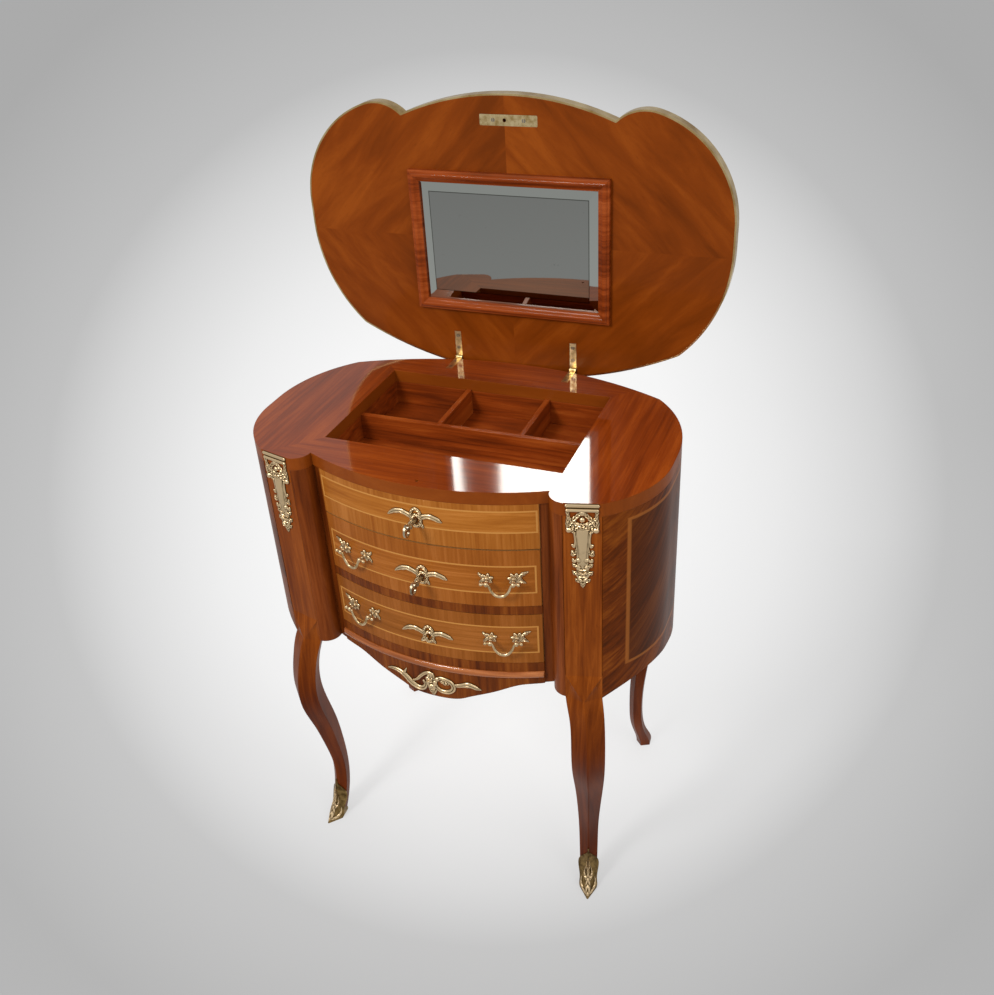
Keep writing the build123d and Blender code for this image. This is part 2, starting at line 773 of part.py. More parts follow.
# Apron mount: a shell between two long scrolled leaves
shell_z = apron_low + apron_shell_lift
with BuildSketch(Plane.XZ) as apron_leaves:
    with BuildLine():
        ThreePointArc((-8, shell_z - 11.5), (-40, shell_z - 7.5), (-83, shell_z + 10.5))
        ThreePointArc((-83, shell_z + 10.5), (-42, shell_z + 3.5), (-8, shell_z + 2.5))
        Line((-8, shell_z + 2.5), (-8, shell_z - 11.5))
    make_face()
    with BuildLine():
        ThreePointArc((8, shell_z - 11.5), (36, shell_z - 7.5), (74, shell_z + 10.5))
        ThreePointArc((74, shell_z + 10.5), (40, shell_z + 3.5), (8, shell_z + 2.5))
        Line((8, shell_z + 2.5), (8, shell_z - 11.5))
    make_face()
    with Locations((-20, shell_z + 5.5), (18, shell_z + 5.5)):
        Ellipse(9, 5)
with BuildSketch(Plane.XZ) as apron_shell:
    with Locations((0, shell_z)):
        Ellipse(12, 16.5)
with BuildPart() as apron_mount:
    add(bent_sheet(apron_leaves.sketch, plate_thickness))
    add(bent_sheet(apron_shell.sketch, relief_thickness))
keep(apron_mount, "apron_mount")

# Corner mounts: a moulded cap over a pierced head, a tapering tongue and a leaf drop
with BuildPart() as corner_mounts:
    with BuildSketch(mount_face):
        Rectangle(mount_width, mount_head, align=(Align.CENTER, Align.MAX))
        with Locations((-14, mount_scroll_z), (14, mount_scroll_z)):
            Circle(7)
        with Locations((0, mount_tongue_z)):
            Circle(9)
        with Locations((-11.5, -17.5), (11.5, -17.5)):
            Triangle(a=10, b=8.6, c=8.6, rotation=180, mode=Mode.SUBTRACT)
        with BuildLine():
            Polyline(
                (-11, mount_tongue_z),
                (-7.5, -95.5),
                (7.5, -95.5),
                (11, mount_tongue_z),
                (-11, mount_tongue_z),
            )
        make_face()
        with Locations((-11.5, -67.5), (11.5, -67.5), (-12, -82.5), (12, -82.5), (-9, -95.5), (9, -95.5)):
            Circle(4)
        with Locations((0, mount_leaf_z)):
            Ellipse(12, 13)
        with BuildLine():
            ThreePointArc((-10, mount_leaf_z - 7), (-7, mount_tip_z + 10), (0, mount_tip_z))
            ThreePointArc((0, mount_tip_z), (7, mount_tip_z + 10), (10, mount_leaf_z - 7))
            Line((10, mount_leaf_z - 7), (-10, mount_leaf_z - 7))
        make_face()
    extrude(amount=plate_thickness)
    with BuildSketch(mount_face):
        Rectangle(mount_cap_width, 5, align=(Align.CENTER, Align.MAX))
        with Locations((0, -7)):
            Rectangle(mount_width, 4.5, align=(Align.CENTER, Align.MAX))
        with Locations((-15, mount_scroll_z), (15, mount_scroll_z), (0, mount_tongue_z)):
            Circle(5)
        with Locations((0, -69.5)):
            Rectangle(11, 44)
        with Locations((0, mount_leaf_z - 2)):
            Ellipse(7, 11)
    extrude(amount=relief_thickness)
    mirror(about=Plane.YZ)
keep(corner_mounts, "corner_mounts")

# Hinges: two leaves that share three knuckles, the pins fixed with the lower leaves
knuckle = leaf_width / 3


def hinge_leaves(along, face_side, cut_starts, cut_length, screws):
    """Left and right leaves that run away from the axis, with the partner's knuckles cut out."""
    with BuildPart() as leaves:
        for leaf_x in (-hinge_x, hinge_x):
            leaf_plane = Plane(
                origin=(leaf_x - leaf_width / 2, hinge_y, hinge_z),
                x_dir=along,
                z_dir=(1, 0, 0),
            )
            with BuildSketch(leaf_plane):
                Circle(barrel_radius)
                with Locations((leaf_length / 2, face_side * (hinge_gap + leaf_thickness / 2))):
                    Rectangle(leaf_length, leaf_thickness)
            extrude(amount=leaf_width)
            for cut_start in cut_starts:
                with BuildSketch(leaf_plane.offset(cut_start)):
                    Circle(barrel_radius + barrel_play)
                extrude(amount=cut_length, mode=Mode.SUBTRACT)
            with BuildSketch(leaf_plane):
                Circle(pin_radius + pin_play)
            extrude(amount=leaf_width, mode=Mode.SUBTRACT)
        add(screws, mode=Mode.SUBTRACT)
    return leaves


lower_cut = knuckle - knuckle_play / 2
keep(
    hinge_leaves((0, -1, 0), 1, [lower_cut], knuckle + knuckle_play, hinge_screws.part),
    "hinge_lower_leaves",
)
upper_cut = knuckle + knuckle_play / 2
keep(
    hinge_leaves((0, 0, 1), -1, [0, leaf_width - upper_cut], upper_cut, lid_screws.part),
    "hinge_upper_leaves",
)
with BuildPart() as hinge_pins:
    with Locations((-hinge_x, hinge_y, hinge_z), (hinge_x, hinge_y, hinge_z)):
        Cylinder(pin_radius, leaf_width, rotation=(0, 90, 0))
keep(hinge_pins, "hinge_pins")

# Lid: the body's outline carried outward, with a full lobe over each column and post that
# runs on in one sweep to the flank, and a brass edge
lid_half = flank_x + lid_overhang
lobe_inset = lid_half - lobe_x
lobe_setback = flank_front_y - lobe_y
sweep_radius = (lobe_inset**2 + lobe_setback**2 - lobe_radius**2) / (2 * (lobe_inset - lobe_radius))
sweep_x = lid_half - sweep_radius
sweep_share = sweep_radius / (sweep_radius - lobe_radius)
sweep_start_x = sweep_x + (lobe_x - sweep_x) * sweep_share
with BuildSketch() as lid_sweeps:
    with Locations((sweep_x, flank_front_y)):
        Circle(sweep_radius)
    with Locations((sweep_start_x, flank_front_y)):
        Rectangle(sweep_radius, sweep_radius, align=(Align.MIN, Align.MAX), mode=Mode.INTERSECT)
    mirror(about=Plane.YZ)
with BuildSketch() as lid_plan:
    offset(body_plan.sketch, amount=lid_overhang, kind=Kind.ARC)
    for corner_x, corner_align in ((-sweep_start_x, Align.MAX), (sweep_start_x, Align.MIN)):
        with Locations((corner_x, flank_front_y)):
            Rectangle(200, 200, align=(corner_align, Align.MAX), mode=Mode.SUBTRACT)
    add(lid_sweeps.sketch)
    with Locations((-lobe_x, lobe_y), (lobe_x, lobe_y)):
        Circle(lobe_radius)
with BuildSketch() as lid_board_plan:
    offset(lid_plan.sketch, amount=-edge_band)

with BuildPart() as strike_plate:
    with BuildSketch(lid_face):
        with Locations((strike_x, -lock_y)):
            RectangleRounded(strike_length, strike_width, 1.5)
        with Locations((0, -lock_y)):
            Circle(lid_bolt_radius + 2 * bolt_play, mode=Mode.SUBTRACT)
    extrude(amount=-strike_thickness)
    add(lid_screws.part, mode=Mode.SUBTRACT)
keep(strike_plate, "strike_plate")

with BuildPart() as lid_board:
    with BuildSketch(lid_face):
        mirror(lid_board_plan.sketch, about=Plane.XZ)
    extrude(amount=-lid_thickness)
    with BuildSketch(lid_face):
        with Locations((strike_x, -lock_y)):
            RectangleRounded(strike_length, strike_width, 1.5)
    extrude(amount=-strike_thickness, mode=Mode.SUBTRACT)
    with BuildSketch(lid_face):
        with Locations((0, -lock_y)):
            Circle(lid_bolt_radius + 2 * bolt_play)
    extrude(amount=-strike_thickness - bolt_pocket_depth, mode=Mode.SUBTRACT)
    with BuildSketch(lid_face):
        with Locations((-hinge_x, -hinge_y), (hinge_x, -hinge_y)):
            Rectangle(leaf_width, leaf_length, align=(Align.CENTER, Align.MIN))
    extrude(amount=-leaf_thickness, mode=Mode.SUBTRACT)
    with Locations((-hinge_x, hinge_y, hinge_z), (hinge_x, hinge_y, hinge_z)):
        Cylinder(
            barrel_radius + barrel_play,
            leaf_width + 4 * knuckle_play,
            rotation=(0, 90, 0),
            mode=Mode.SUBTRACT,
        )
    add(lid_screws.part, mode=Mode.SUBTRACT)
keep(lid_board, "lid_board")

with BuildPart() as lid_edge_band:
    with BuildSketch(lid_face):
        mirror(lid_plan.sketch, about=Plane.XZ)
        mirror(lid_board_plan.sketch, about=Plane.XZ, mode=Mode.SUBTRACT)
    extrude(amount=-lid_thickness)
keep(lid_edge_band, "lid_edge_band")

# Mirror: a bevelled plate behind the lip of a mitred moulding
frame_z = lid_face.origin.Z - frame_y
frame_face = Plane(origin=(0, lid_face.origin.Y, frame_z), x_dir=(1, 0, 0), z_dir=(0, -1, 0))
opening_length = frame_length - 2 * frame_moulding
opening_width = frame_width - 2 * frame_moulding
glass_length = opening_length + 2 * glass_lip
glass_width = opening_width + 2 * glass_lip
with BuildPart() as mirror_glass:
    with BuildSketch(frame_face):
        Rectangle(glass_length, glass_width)
    extrude(amount=glass_thickness - glass_bevel_depth)
    with BuildSketch(frame_face.offset(glass_thickness - glass_bevel_depth)):
        Rectangle(glass_length, glass_width)
    with BuildSketch(frame_face.offset(glass_thickness)):
        Rectangle(glass_length - 2 * glass_bevel, glass_width - 2 * glass_bevel)
    loft()
keep(mirror_glass, "mirror_glass")


def moulding(half_length, half_width):
    """One side of the frame, along local X at local Y = -half_width, mitred at both ends."""
    rebate_depth = glass_thickness - glass_bevel_depth + 4 * joint_line
    inner_y = frame_moulding - half_width
    with BuildPart() as side:
        with BuildSketch(Plane.YZ):
            with BuildLine():
                Polyline(
                    (-half_width, 0),
                    (inner_y - glass_lip - joint_line, 0),
                    (inner_y - glass_lip - joint_line, rebate_depth),
                    (inner_y, rebate_depth),
                    (inner_y, frame_thickness - 5),
                )
                TangentArc(
                    (inner_y, frame_thickness - 5),
                    (inner_y - 6, frame_thickness - 2),
                    tangent=(-1, 0.1),
                )
                ThreePointArc(
                    (inner_y - 6, frame_thickness - 2),
                    (inner_y - 9.5, frame_thickness),
                    (-half_width + 3, frame_thickness - 3),
                )
                Polyline(
                    (-half_width + 3, frame_thickness - 3),
                    (-half_width, frame_thickness - 4),
                    (-half_width, 0),
                )
            make_face()
        extrude(amount=half_length, both=True)
        with BuildSketch():
            Polygon(
                (-half_length + joint_line, -half_width),
                (half_length - joint_line, -half_width),
                (half_length - half_width - joint_line, 0),
                (-half_length + half_width + joint_line, 0),
                align=None,
            )
        extrude(amount=frame_thickness, mode=Mode.INTERSECT)
    return side.part


with BuildPart() as mirror_frame:
    long_side = moulding(frame_length / 2, frame_width / 2)
    short_side = moulding(frame_width / 2, frame_length / 2)
    add(frame_face.location * long_side)
    add(frame_face.location * Rot(0, 0, 180) * long_side)
    add(frame_face.location * Rot(0, 0, 90) * short_side)
    add(frame_face.location * Rot(0, 0, -90) * short_side)
keep(mirror_frame, "mirror_frame")


# Drawers: a bowed front, two sides, a back and a bottom, and their brass
def drawer_boards(name, low, front_top, key_z):
    """The wooden boards of one drawer."""
    front_low = low + drawer_gap
    side_x = drawer_side_outer - drawer_side_thickness / 2
    inside = 2 * (drawer_side_outer - drawer_side_thickness)
    with BuildPart() as front:
        with BuildSketch(Plane.XY.offset(front_low)):
            add(bow_strip(opening_half - drawer_gap, 0, front_thickness))
        extrude(amount=front_top - front_low)
        add(lock_pocket(key_z), mode=Mode.SUBTRACT)
        add(keyhole_cutter(key_z), mode=Mode.SUBTRACT)
        with BuildSketch(Plane.XY.offset(key_z)):
            add(flat_bolt_hole.sketch)
        extrude(amount=front_top - key_z, mode=Mode.SUBTRACT)
    keep(front, f"{name}_front")
    with BuildSketch() as behind_front:
        with Locations((0, bow_centre_y)):
            Circle(bow_radius - front_thickness)
    with BuildPart() as sides:
        with BuildSketch(Plane.XY.offset(front_low)):
            with Locations((-side_x, drawer_back_y), (side_x, drawer_back_y)):
                Rectangle(drawer_side_thickness, 400, align=(Align.CENTER, Align.MAX))
            add(behind_front.sketch, mode=Mode.INTERSECT)
        extrude(amount=drawer_side_height)
    keep(sides, f"{name}_sides")
    board_z = front_low + drawer_bottom_lift
    with BuildPart() as bottom:
        with BuildSketch(Plane.XY.offset(board_z)):
            with Locations((0, drawer_back_y)):
                Rectangle(inside, 400, align=(Align.CENTER, Align.MAX))
            add(behind_front.sketch, mode=Mode.INTERSECT)
        extrude(amount=drawer_bottom_thickness)
    keep(bottom, f"{name}_bottom")
    with BuildPart() as back:
        with BuildSketch(Plane.XY.offset(board_z + drawer_bottom_thickness)):
            with Locations((0, drawer_back_y)):
                Rectangle(inside, drawer_back_thickness, align=(Align.CENTER, Align.MAX))
        extrude(amount=drawer_side_height - drawer_bottom_lift - drawer_bottom_thickness - 4)
    keep(back, f"{name}_back")


handle_turn = asin(handle_x / bow_radius)
handle_out = (sin(handle_turn), -cos(handle_turn), 0)
handle_along = (cos(handle_turn), sin(handle_turn), 0)
handle_face_y = bow_centre_y - bow_radius * cos(handle_turn)


def drawer_handles(name, handle_z):
    """Leafy plates with eyed posts on the face of a drawer, and a bail hung in each pair."""
    handle_face = Plane(origin=(handle_x, handle_face_y, handle_z), x_dir=handle_along, z_dir=handle_out)
    swing = handle_face.offset(handle_standoff)
    outer_x = handle_x + handle_post * cos(handle_turn)
    inner_x = handle_x - handle_post * cos(handle_turn)
    with BuildSketch(Plane.XZ) as leaves:
        with Locations((outer_x, handle_z)):
            Circle(9.5)
            with Locations((7, 6)):
                Ellipse(9, 3.5, rotation=28)
            with Locations((7, -4)):
                Ellipse(8.5, 3.2, rotation=-15)
            with Locations((0, 8)):
                Ellipse(4, 6)
        with Locations((inner_x, handle_z)):
            Circle(7.5)
            with Locations((-7, 5), (-7, -4)):
                Circle(3.6)
            with Locations((2, 7)):
                Circle(4)
    with BuildPart() as plates:
        add(bent_sheet(leaves.sketch, plate_thickness))
        with Locations(handle_face):
            with Locations((-handle_post, 0, 1), (handle_post, 0, 1)):
                Cylinder(
                    handle_post_radius,
                    handle_standoff - 1,
                    align=(Align.CENTER, Align.CENTER, Align.MIN),
                )
            with Locations((-handle_post, 0, handle_standoff), (handle_post, 0, handle_standoff)):
                Sphere(eye_radius)
            with Locations((0, 0, handle_standoff)):
                Cylinder(
                    bail_radius + bail_eye_play,
                    4 * handle_post,
                    rotation=(0, 90, 0),
                    mode=Mode.SUBTRACT,
                )
        mirror(about=Plane.YZ)
    keep(plates, f"{name}_handle_plates")
    with BuildPart() as bail:
        with BuildLine(swing) as bail_path:
            FilletPolyline(
                (-bail_ball, 0),
                (-bail_arm, 0),
                (-bail_belly, -bail_belly_drop),
                (-bail_sole, -bail_drop),
                (bail_sole, -bail_drop),
                (bail_belly, -bail_belly_drop),
                (bail_arm, 0),
                (bail_ball, 0),
                radius=(3, 12, 12, 12, 12, 3),
            )
        with BuildSketch(Plane(origin=bail_path.line @ 0, z_dir=bail_path.line % 0)):
            Circle(bail_radius)
        sweep(path=bail_path.line)
        with Locations(swing):
            with Locations((-bail_ball, 0), (bail_ball, 0)):
                Sphere(bail_ball_radius, rotation=(0, 90, 0))
    keep(bail, f"{name}_bail_right")
    keep_mirrored(bail, f"{name}_bail_left")


def drawer_lock(name, front_top, key_z):
    """Lock, bolt and escutcheon of one drawer."""
    keep(lock_case(key_z, flat_bolt_hole.sketch), f"{name}_lock_case")
    keep(bolt(key_z, flat_bolt_outline.sketch, front_top - drawer_gap), f"{name}_lock_bolt")
    keep(escutcheon(key_z), f"{name}_escutcheon")


drawer_boards("middle_drawer", middle_rail_top, middle_drawer_top, middle_key_z)
drawer_lock("middle_drawer", middle_drawer_top, middle_key_z)
drawer_handles("middle_drawer", middle_handle_z)
keep(key(middle_key_z), "middle_drawer_key")

drawer_boards("lower_drawer", lower_rail_top, lower_drawer_top, lower_key_z)
drawer_lock("lower_drawer", lower_drawer_top, lower_key_z)
drawer_handles("lower_drawer", lower_handle_z)
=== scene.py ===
import math

import bpy
import numpy as np
from mathutils import Euler, Matrix, Vector
from mathutils.bvhtree import BVHTree


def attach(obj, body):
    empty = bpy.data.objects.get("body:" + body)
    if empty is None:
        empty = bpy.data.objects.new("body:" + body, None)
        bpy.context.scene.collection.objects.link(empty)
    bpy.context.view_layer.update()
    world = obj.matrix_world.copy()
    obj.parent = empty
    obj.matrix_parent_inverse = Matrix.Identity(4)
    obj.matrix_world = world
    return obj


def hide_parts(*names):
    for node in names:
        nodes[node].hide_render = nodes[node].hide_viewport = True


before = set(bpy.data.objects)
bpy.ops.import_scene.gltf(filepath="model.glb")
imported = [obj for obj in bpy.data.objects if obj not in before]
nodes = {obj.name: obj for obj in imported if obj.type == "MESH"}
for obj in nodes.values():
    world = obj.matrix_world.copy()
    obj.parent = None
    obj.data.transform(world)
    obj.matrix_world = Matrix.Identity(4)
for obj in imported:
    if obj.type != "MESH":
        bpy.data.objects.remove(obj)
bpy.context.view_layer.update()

# ---------------------------------------------------------------------------------------
# Fixed top: a board veneered in tulipwood and French-polished to a mirror gloss.
# Its ends run front to back, its front and back ledges run left to right, and the
# sheets meet in mitres at the corners of the well.


def linear(code):
    """A colour written as #RRGGBB, turned to the linear values that a shader takes."""
    shares = [int(code[i:i + 2], 16) / 255 for i in (1, 3, 5)]
    return [s / 12.92 if s <= 0.04045 else ((s + 0.055) / 1.055) ** 2.4 for s in shares] + [1]


def add_node(tree, kind, links=None, **settings):
    """Add a shader node: its settings, then each input as a link or a plain value."""
    added = tree.nodes.new("ShaderNode" + kind)
    for setting, value in settings.items():
        setattr(added, setting, value)
    for socket, value in (links or {}).items():
        if isinstance(value, bpy.types.NodeSocket):
            tree.links.new(value, added.inputs[socket])
        else:
            added.inputs[socket].default_value = value
    return added


def new_finish(name):
    """A material, its tree, its surface and the place on the object in metres."""
    material = bpy.data.materials.new(name)
    material.use_nodes = True
    tree = material.node_tree
    return material, tree, tree.nodes["Principled BSDF"], add_node(tree, "TexCoord").outputs["Object"]


def laid_over(tree, colour, tone, where, strength=1.0):
    """A colour with another tone over it, as strongly as asked where a mask is 1."""
    share = add_node(tree, "Math", {0: where.outputs[0], 1: strength}, operation="MULTIPLY")
    return add_node(
        tree, "Mix", {"Factor": share.outputs[0], "A": colour, "B": linear(tone)}, data_type="RGBA"
    ).outputs[2]


def patches(tree, where, size, detail=2.0, roughness=0.5, distortion=0.0):
    """Cloudy noise whose patches have a size in metres along each axis of a place."""
    stretched = add_node(tree, "Mapping", {"Vector": where, "Scale": [1 / length for length in size]})
    return add_node(
        tree, "TexNoise",
        {"Vector": stretched.outputs[0], "Scale": 1.0, "Detail": detail, "Roughness": roughness,
         "Distortion": distortion},
    ).outputs["Fac"]


def lay_in_order(order):
    """Grain along the first of three axes given as letters, such as zxy for upright boards."""
    def lay(tree, place):
        split = add_node(tree, "SeparateXYZ", {"Vector": place})
        picked = dict(zip("XYZ", (split.outputs[letter.upper()] for letter in order)))
        return add_node(tree, "CombineXYZ", picked).outputs[0]
    return lay


# figure of the wood in metres: with the grain, across it and into the board
STREAK_LENGTH = 0.16
STREAK_DEPTH = 0.03
DRIFT_SIZE = (0.22, 0.05, 0.2)
# real pores are a tenth of a millimetre wide, drawn here at half a millimetre
PORE_SIZE = (0.012, 0.0011, 0.0011)
RIPPLES_PER_METRE = 28.0
ARRIS_WIDTH = 0.0016


def french_polished(
    name, pale, middle, dark, lay,
    streak=0.007, polish=0.12, gloss=0.11, varnish=1.5, inlay=None,
):
    """Polished wood in three tones.

    lay gives a vector whose X runs with the grain, in metres, and streak is a streak's width.
    polish is the roughness of the varnish, gloss its weight and varnish its IOR.
    """
    material, tree, surface, place = new_finish(name)
    grain = lay(tree, place)
    # streaks of growth, a few millimetres wide and a hand long, and a slow drift over a sheet
    streaks = patches(tree, grain, (STREAK_LENGTH, streak, STREAK_DEPTH), 4.0, 0.62, 0.5)
    drift = patches(tree, grain, DRIFT_SIZE)
    both = add_node(tree, "Mix", {"Factor": 0.42, "A": streaks, "B": drift})
    ramp = add_node(tree, "ValToRGB", {"Fac": both.outputs[0]})
    ramp.color_ramp.elements[0].position = 0.36
    ramp.color_ramp.elements[0].color = linear(dark)
    ramp.color_ramp.elements[1].position = 0.64
    ramp.color_ramp.elements[1].color = linear(pale)
    ramp.color_ramp.elements.new(0.5).color = linear(middle)
    # open pores, which take the dark of the filler
    pores = patches(tree, grain, PORE_SIZE)
    pore_mask = add_node(
        tree, "MapRange", {"Value": pores, "From Min": 0.58, "From Max": 0.72, "To Max": 0.4}
    )
    colour = laid_over(tree, ramp.outputs["Color"], dark, pore_mask)
    # the arris, where the stain is rubbed thin
    rounded = add_node(tree, "Bevel", {"Radius": ARRIS_WIDTH}, samples=4)
    flat = add_node(tree, "NewGeometry")
    facing = add_node(
        tree, "VectorMath", {0: rounded.outputs[0], 1: flat.outputs["Normal"]}, operation="DOT_PRODUCT"
    )
    rubbed = add_node(
        tree, "MapRange", {"Value": facing.outputs["Value"], "From Min": 0.97, "From Max": 0.8}
    )
    colour = laid_over(tree, colour, pale, rubbed, 0.3)
    if inlay:
        colour = inlay(tree, place, colour)
    tree.links.new(colour, surface.inputs["Base Color"])
    # the board's face moves a little under the polish, and the pores sink
    ripple = add_node(tree, "TexNoise", {"Vector": place, "Scale": RIPPLES_PER_METRE, "Detail": 1.0})
    wave = add_node(
        tree, "Bump",
        {"Height": ripple.outputs["Fac"], "Strength": 0.05, "Distance": 0.002, "Normal": rounded.outputs[0]},
    )
    sunk = add_node(
        tree, "Bump",
        {"Height": pore_mask.outputs[0], "Strength": 0.12, "Distance": 0.0002, "Normal": wave.outputs[0]},
        invert=True,
    )
    tree.links.new(sunk.outputs[0], surface.inputs["Normal"])
    # the shellac is amber, so what it reflects and what shines through it are warm
    for socket, value in {
        "Roughness": 0.42, "Specular IOR Level": 0.12, "Specular Tint": linear("#FFCF9C"),
        "Coat Weight": gloss, "Coat Roughness": polish, "Coat IOR": varnish, "Coat Tint": linear("#FFE3C0"),
    }.items():
        surface.inputs[socket].default_value = value
    return material


def dress(material, *names):
    """Give CAD nodes their material."""
    for name in names:
        mesh = nodes[name].data
        mesh.materials.clear()
        mesh.materials.append(material)


def box_of(name):
    """The lowest and the highest corner of a CAD piece, in metres."""
    corners = np.array([corner.co for corner in nodes[name].data.vertices])
    return corners.min(axis=0), corners.max(axis=0)


WELL_WALL = 0.01
well_low, well_high = box_of("well_walls")
well_half_length = (well_high[0] - well_low[0]) / 2 - WELL_WALL
well_half_width = (well_high[1] - well_low[1]) / 2 - WELL_WALL
well_y = (well_low[1] + well_high[1]) / 2


def lay_round_well(tree, place):
    """Grain front to back at the ends of the top, and left to right on its ledges."""
    split = add_node(tree, "SeparateXYZ", {"Vector": place})
    from_x = add_node(tree, "Math", {0: split.outputs["X"]}, operation="ABSOLUTE")
    beyond_x = add_node(tree, "Math", {0: from_x.outputs[0], 1: well_half_length}, operation="SUBTRACT")
    from_y = add_node(tree, "Math", {0: split.outputs["Y"], 1: well_y}, operation="SUBTRACT")
    apart_y = add_node(tree, "Math", {0: from_y.outputs[0]}, operation="ABSOLUTE")
    beyond_y = add_node(tree, "Math", {0: apart_y.outputs[0], 1: well_half_width}, operation="SUBTRACT")
    at_end = add_node(
        tree, "Math", {0: beyond_x.outputs[0], 1: beyond_y.outputs[0]}, operation="GREATER_THAN"
    )
    endwise = lay_in_order("yxz")(tree, place)
    return add_node(
        tree, "Mix", {"Factor": at_end.outputs[0], 4: place, 5: endwise}, data_type="VECTOR"
    ).outputs[1]


def crossband_edge(tree, place, colour):
    """Upright veneer on the edge of the top, of the tone of the case below it."""
    facing = add_node(tree, "SeparateXYZ", {"Vector": add_node(tree, "NewGeometry").outputs["True Normal"]})
    at_edge = add_node(tree, "Math", {0: facing.outputs["Z"], 1: 0.5}, operation="LESS_THAN")
    return laid_over(tree, colour, "#7E3C0C", at_edge, 0.7)


# many coats over a red-brown veneer: a deep tone under a reflection as sharp as glass
top_polish = french_polished(
    "tulipwood_veneer_top", "#9A501A", "#823C10", "#682C0A", lay_round_well,
    polish=0.07, varnish=1.55, inlay=crossband_edge,
)
# the flat of the top was brought to a full gloss and its edge was not
tree = top_polish.node_tree
facing = add_node(tree, "SeparateXYZ", {"Vector": add_node(tree, "NewGeometry").outputs["True Normal"]})
gloss = add_node(
    tree, "MapRange",
    {"Value": facing.outputs["Z"], "From Min": 0.5, "From Max": 0.9, "To Min": 0.08},
)
tree.links.new(gloss.outputs[0], tree.nodes["Principled BSDF"].inputs["Coat Weight"])
dress(top_polish, "top_board")

# ---------------------------------------------------------------------------------------
# Well: walls, floor and dividers of thin mahogany, oiled and left matt, with the grain
# along each board. The dividers are let into the walls.

# oil alone leaves a dull sheen, and lets the red of the wood show
for finish, order, boards in (
    ("oiled_mahogany_boards", "xzy", ("well_walls", "well_floor", "well_long_divider")),
    ("oiled_mahogany_dividers", "yzx", ("well_cross_dividers",)),
):
    dress(
        french_polished(finish, "#A4511C", "#87390F", "#5E2409", lay_in_order(order), polish=0.3),
        *boards,
    )

# ---------------------------------------------------------------------------------------
# Legs and posts: solid mahogany cabrioles, stained and polished, and coloured darker towards the
# feet.

KNEE_Z = 0.44
SHIN_Z = 0.3


def darker_to_feet(tree, place, colour):
    """Browner from the knee down."""
    split = add_node(tree, "SeparateXYZ", {"Vector": place})
    low = add_node(tree, "MapRange", {"Value": split.outputs["Z"], "From Min": KNEE_Z, "From Max": SHIN_Z})
    return add_node(
        tree, "Mix", {"Factor": low.outputs[0], "A": colour, "B": linear("#BEA47C")},
        data_type="RGBA", blend_type="MULTIPLY",
    ).outputs[2]


# stain under a thin polish: an even orange brown with hardly a reflection
leg_mahogany = french_polished(
    "stained_mahogany_legs", "#985018", "#7E3C0C", "#602806", lay_in_order("zxy"),
    gloss=0.06, inlay=darker_to_feet,
)
dress(leg_mahogany, "front_leg_left", "front_leg_right", "back_leg_left", "back_leg_right")

# ---------------------------------------------------------------------------------------
# Columns beside the drawers: mahogany stiles, each a rounded edge next to the post and a sunk
# strip next to the drawers, glued to the post.

# the same stain as the legs, a shade redder and darker
dress(
    french_polished("stained_mahogany_columns", "#86441A", "#6E320C", "#4C1E06", lay_in_order("zxy")),
    "front_columns",
)

# ---------------------------------------------------------------------------------------
# Side and back panels: boards bent round the case from post to post. The sides have a dark
# veneer laid slantwise inside a box of pale stringing, and a lighter band outside it.

SIDE_LINE_LOW = 0.476
SIDE_LINE_HIGH = 0.725
SIDE_LINE_FRONT = -0.1335
SIDE_LINE_BACK = 0.118
SIDE_LINE_WIDTH = 0.0065


def lay_slantwise(tree, place):
    """Grain that climbs at 45 degrees to the middle of a side from both ends."""
    split = add_node(tree, "SeparateXYZ", {"Vector": place})
    middle = (SIDE_LINE_FRONT + SIDE_LINE_BACK) / 2
    from_middle = add_node(tree, "Math", {0: split.outputs["Y"], 1: middle}, operation="SUBTRACT")
    folded = add_node(tree, "Math", {0: from_middle.outputs[0]}, operation="ABSOLUTE")
    along = add_node(tree, "Math", {0: split.outputs["Z"], 1: folded.outputs[0]}, operation="SUBTRACT")
    across = add_node(tree, "Math", {0: split.outputs["Z"], 1: folded.outputs[0]}, operation="ADD")
    return add_node(
        tree, "CombineXYZ", {"X": along.outputs[0], "Y": across.outputs[0], "Z": split.outputs["X"]}
    ).outputs[0]


def inside_box(tree, first, low_first, high_first, second, low_second, high_second):
    """How far a point is inside a rectangle, negative outside, from two coordinates."""
    insets = []
    for value, low, high in ((first, low_first, high_first), (second, low_second, high_second)):
        from_middle = add_node(tree, "Math", {0: value, 1: (low + high) / 2}, operation="SUBTRACT")
        apart = add_node(tree, "Math", {0: from_middle.outputs[0]}, operation="ABSOLUTE")
        inset = add_node(tree, "Math", {0: (high - low) / 2, 1: apart.outputs[0]}, operation="SUBTRACT")
        insets.append(inset.outputs[0])
    return add_node(tree, "Math", {0: insets[0], 1: insets[1]}, operation="MINIMUM").outputs[0]


def side_banding(tree, place, colour):
    """Darker veneer inside the stringing, and the pale line itself."""
    split = add_node(tree, "SeparateXYZ", {"Vector": place})
    inset = inside_box(
        tree, split.outputs["Y"], SIDE_LINE_FRONT, SIDE_LINE_BACK,
        split.outputs["Z"], SIDE_LINE_LOW, SIDE_LINE_HIGH,
    )
    within = add_node(tree, "Math", {0: inset, 1: 0.0}, operation="GREATER_THAN")
    colour = laid_over(tree, colour, "#3E1C06", within, 0.5)
    edge = add_node(tree, "Math", {0: inset}, operation="ABSOLUTE")
    line = add_node(
        tree, "MapRange",
        {"Value": edge.outputs[0], "From Min": SIDE_LINE_WIDTH / 2, "From Max": SIDE_LINE_WIDTH / 4},
    )
    return laid_over(tree, colour, "#A8642A", line, 0.6)


